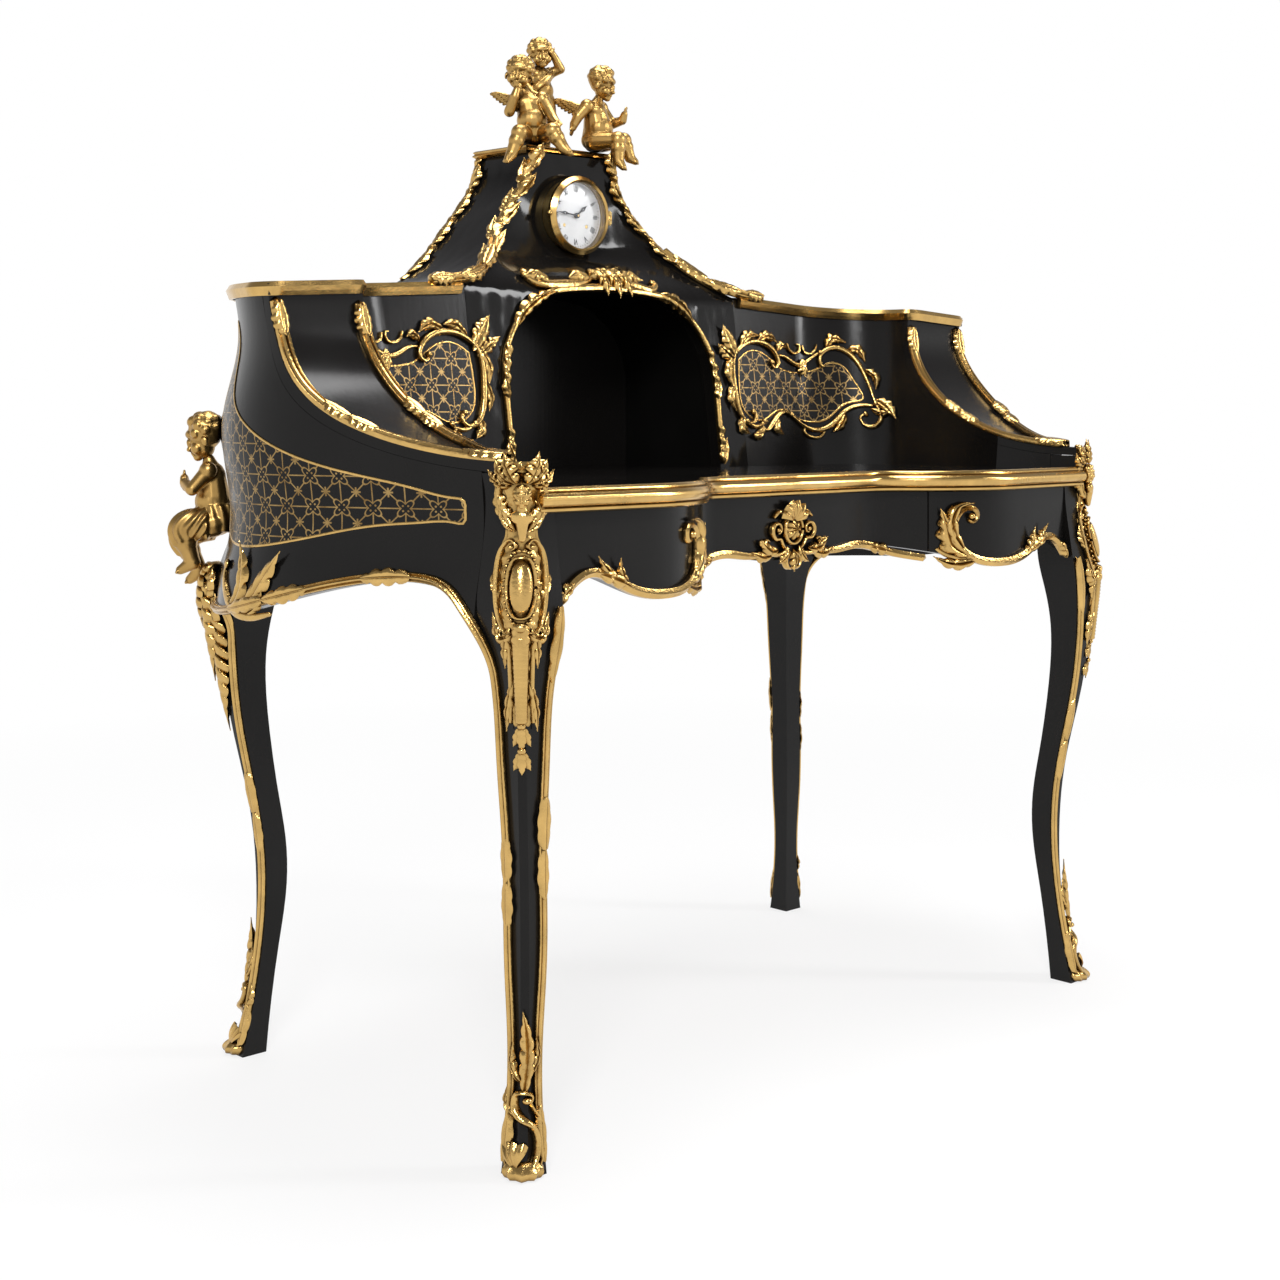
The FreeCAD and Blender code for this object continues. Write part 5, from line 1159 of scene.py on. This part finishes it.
FRAME_SCROLLS = [
    ([(-138, 58), (-150, 30), (-151, -5), (-146, -38), (-133, -58), (-116, -60), (-108, -50), (-114, -43)], 10, 9),
    ([(-146, 44), (-128, 58), (-98, 67), (-68, 62), (-48, 45), (-46, 31), (-56, 27), (-61, 35)], 10, 9),
    ([(-44, 46), (-28, 44), (-12, 36), (4, 32), (20, 36), (38, 46), (50, 52)], 8, 7),
    ([(-20, 66), (-14, 54), (-2, 50), (8, 55), (8, 64), (2, 64)], 5, 6),
    ([(16, 64), (18, 54), (30, 50), (42, 56), (46, 66)], 5, 6),
    ([(60, 34), (51, 30), (48, 40), (58, 54), (80, 60), (102, 50), (118, 26), (128, -4), (134, -30)], 10, 9),
    ([(134, -30), (140, -52), (128, -66), (110, -64), (106, -52), (115, -47)], 8, 8),
    ([(132, -34), (104, -34), (80, -44), (62, -60), (38, -72), (12, -70), (-8, -60), (-26, -48)], 9, 8),
    ([(46, -66), (36, -82), (16, -84), (2, -74), (6, -66)], 6, 6),
    ([(-26, -48), (-44, -44), (-60, -52), (-76, -66), (-88, -72), (-96, -64), (-90, -58)], 8, 8),
    ([(-92, -62), (-112, -66), (-130, -58)], 8, 8)]
FRAME_LEAVES = [
    ([(-138, 42), (-152, 64), (-168, 92)], 12, 5), ([(-144, 34), (-164, 48), (-184, 62)], 9, 4),
    ([(-150, 40), (-160, 20), (-157, -4)], 7, 3), ([(-151, 0), (-160, -22), (-154, -42)], 7, 3),
    ([(-140, -50), (-140, -68), (-128, -78)], 8, 3), ([(-128, 60), (-108, 76), (-86, 76)], 8, 4),
    ([(-88, 68), (-64, 76), (-44, 64)], 8, 4), ([(-46, 52), (-34, 62), (-24, 58)], 6, 3),
    ([(12, 42), (12, 28), (12, 12)], 10, 3), ([(62, 58), (76, 74), (98, 68)], 8, 4),
    ([(98, 56), (116, 56), (126, 36)], 8, 4), ([(122, 24), (138, 14), (138, -8)], 7, 3),
    ([(134, -24), (150, -34), (168, -54)], 10, 4), ([(82, -46), (70, -66), (56, -76)], 7, 3),
    ([(-56, -52), (-62, -68), (-50, -80)], 7, 3), ([(-94, -66), (-106, -80), (-122, -80)], 7, 3),
    ([(124, -38), (146, -46), (160, -40)], 6, 3)]
FRAME_PANEL = [(-132, 38), (-108, 51), (-80, 50), (-58, 38), (-40, 26), (-10, 19), (22, 20), (50, 28), (68, 35),
               (88, 30), (102, 8), (112, -24), (94, -28), (72, -38), (52, -54), (20, -60), (-8, -54), (-30, -42),
               (-56, -42), (-82, -54), (-112, -54), (-130, -40), (-136, 0)]
FRAME_AT = np.array([190.0, 888.0])
FRAME_MIDDLE = FRAME_AT + (-20, -4)

for sx, side in SIDES:
    on = on_wall(sx)
    bars = [scroll(on, FRAME_AT + spine, w, h, 0.55, 0.45, 0.5) for spine, w, h in FRAME_SCROLLS]
    bars += [bead(on, *(FRAME_AT + spine[-1]), 4.2, 9) for spine, w, h in FRAME_SCROLLS if w > 7]
    leaves = [leaf(on, FRAME_AT + spine, w, n, 5, 5, 3, (22, 8)) for spine, w, n in FRAME_LEAVES]
    finished("cartouche_frame_" + side, ("cartouche_" + side,), bars, leaves)
    add_panel("cartouche_lattice_" + side, on, FRAME_AT + FRAME_PANEL, FRAME_MIDDLE, 0.6)

# Drawer mounts

DRAWER_SCROLLS = [
    ([(494, 634), (474, 655), (450, 665), (425, 660), (396, 646), (362, 636), (322, 634), (288, 640), (266, 655),
      (257, 676), (260, 698), (273, 711), (286, 709), (290, 699), (283, 692), (276, 697)],
     13, 10, 0.8, 0.45, 0.4, (120, 12)),
    ([(280, 640), (262, 642), (246, 648), (236, 656)], 8, 7)]
DRAWER_LEAVES = [
    ([(280, 644), (256, 658), (248, 686), (240, 712)], 12, 5, 8, 8, 3, (36, 10), 0.6),
    ([(270, 652), (254, 684), (262, 714), (284, 718)], 8, 4, 7, 4, 6),
    ([(290, 640), (268, 634), (248, 636), (233, 645)], 8, 4, 6, 3, 2),
    ([(398, 646), (424, 664), (442, 684)], 7, 4, 6, 7, 3, (28, 8), 0.6),
    ([(388, 642), (404, 660), (408, 680)], 6, 4, 6, 7, 3, (28, 8), 0.6),
    ([(440, 664), (414, 656), (384, 642)], 8, 3, 5, 2, 6), ([(496, 630), (486, 646), (470, 656)], 7, 3, 5, 2, 5)]
for sx, side in SIDES:
    on = on_drawer(sx)
    bars = scrolls(on, DRAWER_SCROLLS) + [bead(on, 280, 700, 4.5, 12)]
    leaves = leafage(on, DRAWER_LEAVES)
    finished("drawer_%s_scrolls" % side, ("drawer_%s_mount" % side,), bars, leaves, "drawer_" + side)

CENTRE_SCROLLS = [
    ([(227, 642), (194, 650), (160, 660), (122, 663), (92, 659), (58, 658)], 12, 8, 0.9, 0.6, 0.4, (80, 12)),
    ([(14, 664), (22, 672)] + spiral((31, 690), 13, 4, 250, 1.1), 7, 9, 0.5, 0.5, 1, (60, 10)),
    ([(10, 664), (26, 658), (44, 660), (56, 670), (52, 678), (46, 674)], 7, 8, 0.5, 0.4, 1),
    ([(4, 660), (14, 650), (10, 640), (2, 638)], 6, 8, 0.6, 0.5, 1),
    ([(12, 706), (26, 714), (38, 706)], 7, 8, 0.5, 0.5, 1)]
CENTRE_LEAVES = [
    ([(30, 664), (48, 664), (66, 678)], 8, 3, 6, 5, 4), ([(40, 660), (60, 656), (82, 664)], 7, 3, 5, 3, 3),
    ([(12, 668), (20, 652), (30, 646)], 6, 3, 5, 4, 4), ([(156, 660), (176, 656), (198, 650)], 8, 3, 5, 2, 4)]
on = on_drawer(RIGHT)
bars = [scroll(on, oval(17, 19, 690, 24), 6, 9, 1, 1, 1, (60, 10))]
leaves = [shell(on, 0, 700, 30, 90, 78, 6, 12, 4), rosette(on, 0, 690, 15, 8, 8, 4),
          leaf(on, [(0, 664), (0, 652), (0, 634)], 7, 3, 6, 4, 5)]
for s in (LEFT, RIGHT):
    bars += scrolls(on, CENTRE_SCROLLS, s) + beads(on, ((31, 690, 3.5, 10), (62, 674, 5, 8)), s)
    leaves += leafage(on, CENTRE_LEAVES, s)
finished("drawer_centre_cartouche", ("drawer_centre_mount",), bars, leaves, "drawer_centre")

# Corner mounts on the front legs

MOUNT_LOW = 500.0
MOUNT_HIGH = 793.0
STALK_TOP = 604.0
STALK_LENGTH = 100.0
OVAL_Z = 655.0
BUST_Z = 750.0
mount_half = fair((498, 7), (512, 14), (540, 16), (575, 18), (596, 23), (620, 29), (655, 31), (690, 28), (712, 21),
                  (730, 20), (765, 25), (794, 22))
MOUNT_SCROLLS = [
    ([(12, 598), (24, 616), (29.5, 650), (27, 684), (18, 702), (8, 706), (5, 698), (11, 695)],
     6, 9, 0.6, 0.5, 1, (70, 10)),
    ([(14, 602), (13, 570), (12, 535), (14, 504)], 7, 7, 0.7, 0.7, 1),
    ([(8, 716), (16, 722), (22, 738), (25, 760), (19, 771), (12, 764)], 6, 9, 0.5, 0.5, 2),
    ([(4, 772), (16, 776), (26, 784), (26, 793), (19, 791)], 7, 9, 0.6, 0.5, 2)]
MOUNT_LEAVES = [
    ([(3, 768), (9, 784), (12, 804)], 6, 4, 6, 6, 8, (28, 8), 0.6),
    ([(6, 768), (18, 776), (26, 796)], 6.5, 4, 6, 6, 5, (28, 8), 0.6),
    ([(10, 766), (26, 770), (38, 784)], 6.5, 4, 6, 5, 4, (28, 8), 0.6),
    ([(8, 552), (15, 528), (18, 496)], 6, 4, 5, 4, 3, (24, 8)),
    ([(6, 606), (22, 600), (33, 628)], 8, 4, 6, 5, 3, (24, 8)),
    ([(12, 612), (18, 592), (19, 566)], 7, 4, 5, 4, 3, (24, 8)),
    ([(27, 640), (33, 658), (31, 678)], 6, 4, 5, 3, 2, (20, 6)),
    ([(5, 728), (18, 736), (27, 766)], 9, 4, 6, 6, 4, (24, 8)),
    ([(4, 716), (14, 728), (20, 752)], 7, 3, 5, 4, 6, (20, 8))]


def mount_plate(on):
    def form(u, v):
        z = MOUNT_LOW + (MOUNT_HIGH - MOUNT_LOW) * u
        a, up = circle(v)
        flutes = 1 + 0.3 * np.cos(a * 26) + 0.25 * np.cos(z / 2.4 + 4 * np.abs(a))
        h = 0.3 + np.where(up > 0, 3.6 * domed(up, 0.4) * flutes, 0) * rounded(u, 0.03)
        return on(mount_half(z) * a * (1 + 0.045 * np.cos(z / 3.2)), z, h)

    return sheet(110, 44, form)


def stalk(on):
    """Tapering stalk with rows of scales."""
    def form(u, v):
        z = STALK_TOP - STALK_LENGTH * u
        a, up = circle(v)
        scales = 0.9 + 0.1 * np.abs(np.sin(z * 0.62 + 1.6 * np.abs(a)))
        cap = rounded(u, 0.03)
        return on(a * (9 - 3.5 * u) * cap, z, 2 + np.where(up > 0, 8.5 * domed(up, 0.8) * scales, 0) * cap)

    return sheet(70, 14, form)


def bust(on, heading):
    """Small head on a tapering term."""
    axes = axes_of(heading)
    place = on(np.array([0.0]), np.array([BUST_Z]), np.array([9.0]))[0]

    def below(z):
        return place - np.array([0, 0, z])

    forms = head(below(-4), turned(axes, 0, 10), 0.5)
    forms += [capsule(below(14), place, 7, 4.5), ellipsoid(below(18), (8, 13, 9), axes)]
    forms.append(capsule(below(22), below(42), 8, 4))
    return cast(forms, 0.7, 3)


for sx, side in SIDES:
    on = on_leg(sx, FRONT)
    bars = [mount_plate(on), stalk(on), bead(on, 0, OVAL_Z, 9, 9, 3, (20, 24), 2.9), bead(on, 0, 612, 6, 12),
            scroll(on, oval(13, 33, OVAL_Z, 30), 4.5, 9, 1, 1, 1.5, (80, 10)), bust(on, 270 + sx * 45)]
    bars += [bead(on, s, t, 2.3, 6, 2, (6, 8)) for s, t in oval(18.5, 40, OVAL_Z, 31)[:-1]]
    leaves = [leaf(on, [(0, 618), (0, 604), (0, 584)], 8, 3, 6, 2, 5, (20, 8))]
    for s in (LEFT, RIGHT):
        bars += scrolls(on, MOUNT_SCROLLS, s) + [bead(on, s * 9, 699, 3, 10)]
        leaves += leafage(on, MOUNT_LEAVES, s)
    for top, size in ((503, 28), (475, 27)):
        leaves += husk(on, 0, top, size)
        bars.append(bead(on, 0, top, 4, 8))
    finished("corner_mount_%s_cast" % side, ("corner_mount_" + side,), bars, leaves)

# Feather drops on the back legs

DROP_LEAVES = [([(0, 640), (0, 560), (0, 480), (0, 424)], 25, 12, 9, 2, 4, (110, 12), 0.4),
               ([(0, 644), (0, 580), (0, 490)], 14, 9, 8, 3, 12, (80, 10), 0.45),
               ([(0, 648), (0, 612), (0, 560)], 8, 6, 6, 3, 19, (60, 8), 0.45)]
DROP_SIDES = [([(4, 600), (20, 618), (24, 644)], 9, 3, 7, 6, 8), ([(4, 560), (17, 574), (21, 600)], 8, 3, 6, 6, 6)]
bars, leaves = [], []
for sx, side in SIDES:
    on = on_leg(sx, BACK)
    bars.append(bead(on, 0, 640, 9, 24))
    leaves += leafage(on, DROP_LEAVES) + leafage(on, DROP_SIDES, LEFT) + leafage(on, DROP_SIDES, RIGHT)
finished("leg_drops_feathered", ("leg_drops",), bars, leaves)

# Sabots

toe_half = fair((0, 25), (6, 29), (12, 28), (20, 20))
toe_out = fair((0, 8), (5, 12), (11, 12), (20, 4))
SABOT_SCROLLS = [
    ([(6, 8), (15, 26), (13, 48), (0, 62), (-9, 76), (-3, 90), (7, 86), (5, 78)], 8, 11, 0.8, 0.45, 2, (70, 10)),
    ([(20, 12), (26, 34), (21, 58), (10, 72), (4, 86)], 6, 9, 0.7, 0.5, 1, (50, 10)),
    ([(-22, 12), (-27, 36), (-22, 60), (-12, 72)], 6, 8, 0.7, 0.5, 1, (50, 10))]
SABOT_LEAVES = [([(0, 88), (3, 128), (-1, 178)], 7, 6, 6, 5, 4, (40, 8), 0.5),
                ([(-2, 100), (-13, 118), (-11, 142)], 5, 4, 5, 5, 4, (26, 8), 0.5),
                ([(3, 108), (13, 124), (11, 148)], 5, 4, 5, 5, 4, (26, 8), 0.5),
                ([(-8, 62), (-22, 74), (-20, 96)], 6, 4, 5, 5, 3, (26, 8), 0.5)]


def toe(on):
    def form(u, v):
        z = 1 + 18 * u
        a, up = circle(v)
        cap = rounded(u, 0.04)
        ribs = 1 + 0.2 * np.cos(a * 17)
        h = 0.3 + np.where(up > 0, toe_out(z) * domed(up, 0.8) * ribs, 0) * (0.3 + 0.7 * cap)
        return on(toe_half(z) * a * (0.8 + 0.2 * cap), z, h)

    return sheet(24, 36, form)


bars, leaves = [], []
for sx, side in SIDES:
    for sy in (FRONT, BACK):
        on = on_leg(sx, sy)
        bars += [toe(on), bead(on, 3, 82, 4, 12)] + scrolls(on, SABOT_SCROLLS)
        leaves += leafage(on, SABOT_LEAVES) + [shell(on, -6, 10, 30, 104, 36, 4, 8, 4, (14, 30))]
finished("sabots_scrolled", ("sabots",), bars, leaves)

# Children on the platform and at the back corners: trunk, arms and legs as joints ahead, left, up and thick

SEATED = [
    [(0, 0, 21, 23), (3, -3, 40, 24), (2, -9, 64, 19), (4, -15, 82, 8), (8, -21, 106, 21)],
    [(4, 12, 70, 10), (14, 22, 52, 9), (26, 30, 36, 7.5), (32, 34, 31, 6)],
    [(4, -28, 68, 10), (14, -36, 49, 9), (22, -28, 70, 7.5), (22, -25, 80, 6)],
    [(3, 12, 17, 16), (38, 28, 17, 13), (42, 44, -8, 9.5), (48, 53, -16, 6)],
    [(3, -12, 16, 16), (42, -20, 14, 13), (46, -32, -18, 9.5), (55, -38, -28, 6)]]
LEANING = [
    [(0, 0, 20, 22), (4, 0, 39, 23.5), (1, -3, 62, 19), (6, 0, 82, 8), (10, 3, 104, 21)],
    [(2, 20, 70, 10), (18, 24, 46, 9), (36, 22, 50, 7.5), (40, 20, 59, 6)],
    [(-4, -22, 68, 10), (-14, -32, 52, 9), (-20, -34, 40, 7.5), (-22, -34, 34, 6)],
    [(3, 12, 16, 16), (40, 16, 18, 13), (50, 18, -8, 9.5), (58, 20, -14, 6)],
    [(3, -12, 16, 16), (42, -12, 16, 13), (44, -14, -16, 9.5), (52, -15, -26, 6)]]
STANDING = [
    [(0, 0, 78, 20), (3, 0, 98, 21), (1, 0, 120, 17), (3, 0, 132, 8), (5, 0, 151.5, 19)],
    [(2, 17, 124, 9), (14, 30, 130, 8), (17, 19, 145, 6.5), (18, 13, 153, 5.5)],
    [(2, -17, 124, 9), (6, -28, 104, 8), (20, -22, 88, 6.5), (28, -16, 84, 5.5)],
    [(0, 10, 68, 14), (6, 12, 38, 11.5), (-2, 12, 10, 8), (10, 13, 6, 5.5)],
    [(0, -10, 68, 14), (10, -13, 40, 11.5), (6, -14, 10, 8), (18, -15, 6, 5.5)]]
KNEELING = [
    [(0, 0, 58, 24), (6, 0, 84, 24), (8, 0, 116, 20), (12, 0, 136, 9), (17, 0, 166, 25)],
    [(10, 20, 122, 11), (30, 26, 98, 9.5), (42, 8, 106, 7.5), (44, 0, 112, 6.5)],
    [(10, -20, 122, 11), (30, -26, 98, 9.5), (42, -8, 100, 7.5), (44, 0, 106, 6.5)],
    [(4, 13, 52, 19), (44, 16, 42, 16), (30, 18, 2, 11), (46, 19, -8, 7)],
    [(4, -13, 52, 19), (48, -16, 30, 16), (26, -18, -12, 11), (40, -19, -24, 7)]]
# Name, place, heading, pose, look, then the wings' height, turn and reach
CHILDREN = (("putto_left", (-54, 256, PLATFORM_Z), 228, SEATED, (-8, 4, -8), 62, 66, 52.0),
            ("putto_right", (62, 249, PLATFORM_Z), 295, LEANING, (10, 18, 0), 64, 0, 52.0),
            ("putto_back", (5, 314, PLATFORM_Z - 1), 258, STANDING, (-14, 6, 5), 116, -20, 45.0))
BELT = ((4, 17, 126), (20, 4, 112), (20, -14, 98), (4, -22, 86))
SKIRT = ((2, 0, 92), (2, 0, 78), (4, 0, 60), (4, 0, 46))
CORNER_CLOTH = ((2, 0, 80), (2, 0, 62), (6, 0, 44))


def figure(name, node, body, crown, wings=()):
    finished(name, (node,), [body, crown], wings, finish=old_gilt, wall=1.2, angle=60)


for name, place, heading, chains, look, wing_up, wing_turn, reach in CHILDREN:
    axes = axes_of(heading)
    forms, crown = child(place, heading, chains, look)
    if chains is STANDING:
        forms.append(drape(np.array(BELT) @ axes + place, (5, 6, 6, 5), axes, 5, 0.9))
        forms.append(drape(np.array(SKIRT) @ axes + place, (20, 23, 24, 25), axes, 10, 1.6))
    wing_axes = axes_of(heading + wing_turn)
    wings = []
    for side in (LEFT, RIGHT):
        root = place + np.array((-13.0, 7.0 * side, wing_up + 4.0)) @ wing_axes
        wings += feathers(root, wing_axes, reach, side)
    figure(name + "_cast", name, cast(forms, 1.0, 9), cast(crown, 0.8, 10), wings)

for sx, side in SIDES:
    heading = 90 - sx * 50
    axes = axes_of(heading)
    place = np.array((sx * 560.5, 306.0, 647.0))
    chains = [[(f, -sx * l, u, r) for f, l, u, r in chain] for chain in KNEELING]
    forms, crown = child(place, heading, chains, (0, 20, 0))
    for chain in chains[3:]:
        hip, knee, ankle = np.array(chain, float)[:3, :3] @ axes + place
        forms.append(drape([hip, knee, 0.55 * knee + 0.45 * ankle], (22, 20, 15), axes, 8, 1.6))
    forms.append(drape(np.array(CORNER_CLOTH) @ axes + place, (22, 27, 28), axes, 11, 1.6))
    figure("corner_figure_%s_cast" % side, "corner_figure_" + side, cast(forms, 1.2, 9), cast(crown, 0.9, 9))

# Hours and minutes on the dial, in metres

HOURS = ("XII", "I", "II", "III", "IIII", "V", "VI", "VII", "VIII", "IX", "X", "XI")
HOUR_RING = 0.0385
MINUTE_RING = 0.0458


def dial_place(share, radius):
    centre = Matrix.Translation((0, (DIAL_FRONT + DEPTH_SHIFT) * MM, CLOCK_Z * MM))
    return centre @ Matrix.Rotation(2 * math.pi * share, 4, "Y") @ Matrix.Translation((0, 0, radius))


def set_mark(mark, matrix):
    mark.matrix_world = matrix
    chosen_alone(mark)
    bpy.ops.object.transform_apply(location=True, rotation=True, scale=True)
    return mark


marks = []
for hour, word in enumerate(HOURS):
    bpy.ops.object.select_all(action="DESELECT")
    bpy.ops.object.text_add()
    text = bpy.context.object.data
    text.body = word
    text.size = 0.0118
    text.offset = 0.0003
    text.extrude = 0.0001
    text.align_x = "CENTER"
    text.align_y = "CENTER"
    bpy.ops.object.convert(target="MESH")
    upright = Matrix.Rotation(math.radians(90), 4, "X") @ Matrix.Diagonal((0.72, 1.0, 1.0, 1.0))
    marks.append(set_mark(bpy.context.object, dial_place(hour / 12, HOUR_RING) @ upright))
for minute in range(60):
    bpy.ops.object.select_all(action="DESELECT")
    bpy.ops.mesh.primitive_cube_add(size=1)
    wide = 0.0011 if minute % 5 == 0 else 0.0006
    size = Matrix.Diagonal((wide, 0.0002, 0.0026, 1.0))
    marks.append(set_mark(bpy.context.object, dial_place(minute / 60, MINUTE_RING) @ size))
finished("dial_marks", (), marks, finish=blued, angle=30)

# Floor, light and camera

bpy.ops.mesh.primitive_plane_add(size=60, location=(0, 0, 0))
floor = bpy.context.object
floor.name = "floor"
floor_finish, nodes, links, shader = material("pale floor", Roughness=0.9, Specular_IOR_Level=0.0)
floor_cloud = noise(nodes, links, 0.6, 2.0)
floor_tone = ramp(nodes, links, floor_cloud, (0.3, (0.9, 0.9, 0.9)), (0.7, (0.93, 0.93, 0.93)))
links.new(floor_tone, shader.inputs["Base Color"])
paper = nodes.new("ShaderNodeEmission")
paper.inputs["Color"].default_value = (1, 1, 1, 1)
maths = Lines(nodes, links)
rays = nodes.new("ShaderNodeLightPath").outputs
seen = maths.do("MAXIMUM", rays["Is Camera Ray"], rays["Is Glossy Ray"])
seen = maths.do("MAXIMUM", seen, rays["Is Transmission Ray"])
far = nodes.new("ShaderNodeVectorMath")
far.operation = "LENGTH"
links.new(nodes.new("ShaderNodeTexCoord").outputs["Object"], far.inputs[0])
white_share = spread(nodes, links, far.outputs["Value"], 0.75, 1.0, 0.7, 3.0)
paper_mix = nodes.new("ShaderNodeMixShader")
links.new(maths.do("MULTIPLY", seen, white_share), paper_mix.inputs["Fac"])
links.new(shader.outputs["BSDF"], paper_mix.inputs[1])
links.new(paper.outputs["Emission"], paper_mix.inputs[2])
links.new(paper_mix.outputs["Shader"], nodes["Material Output"].inputs["Surface"])
floor.data.materials.append(floor_finish)

world = bpy.data.worlds.new("studio")
bpy.context.scene.world = world
world.use_nodes = True
sky = world.node_tree.nodes
sky_links = world.node_tree.links
height = sky.new("ShaderNodeSeparateXYZ")
sky_links.new(sky.new("ShaderNodeTexCoord").outputs["Generated"], height.inputs[0])
sky_tone = ramp(sky, sky_links, height.outputs["Z"], (0.24, (1, 1, 1)), (0.5, (0.28, 0.28, 0.29)),
                (1.0, (0.2, 0.2, 0.21)))
sky_links.new(sky_tone, sky["Background"].inputs["Color"])
sky["Background"].inputs["Strength"].default_value = 1.0


def placed(name, data, place):
    obj = bpy.data.objects.new(name, data)
    bpy.context.collection.objects.link(obj)
    obj.location = place
    return obj


def lamp(name, place, target, size, power):
    data = bpy.data.lights.new(name, "AREA")
    data.shape = "RECTANGLE"
    data.size, data.size_y = size
    data.energy = power
    obj = placed(name, data, place)
    obj.rotation_euler = (Vector(target) - Vector(place)).to_track_quat("-Z", "Y").to_euler()


lamp("key", (-2.4, -2.2, 3.0), (0, 0, 0.9), (0.9, 0.9), 85)
lamp("strip", (2.4, -2.4, 2.4), (0, 0, 0.9), (0.4, 1.8), 45)
lamp("top", (0.3, 0.2, 3.6), (0, 0, 0.8), (1.8, 1.8), 90)

PICTURE_SIZE = 1280
FOCAL_PIXELS = 1942.7
HORIZON_PIXELS = 404.4
camera_data = bpy.data.cameras.new("camera")
camera_data.sensor_width = 36.0
camera_data.lens = FOCAL_PIXELS / PICTURE_SIZE * 36
camera_data.shift_y = (HORIZON_PIXELS - PICTURE_SIZE / 2) / PICTURE_SIZE
camera = placed("camera", camera_data, (-1.933, -1.934 + DEPTH_SHIFT * MM, 0.856))
camera.rotation_euler = (math.radians(90), 0, math.radians(-43.75))
bpy.context.scene.camera = camera
bpy.context.scene.view_settings.view_transform = "Standard"
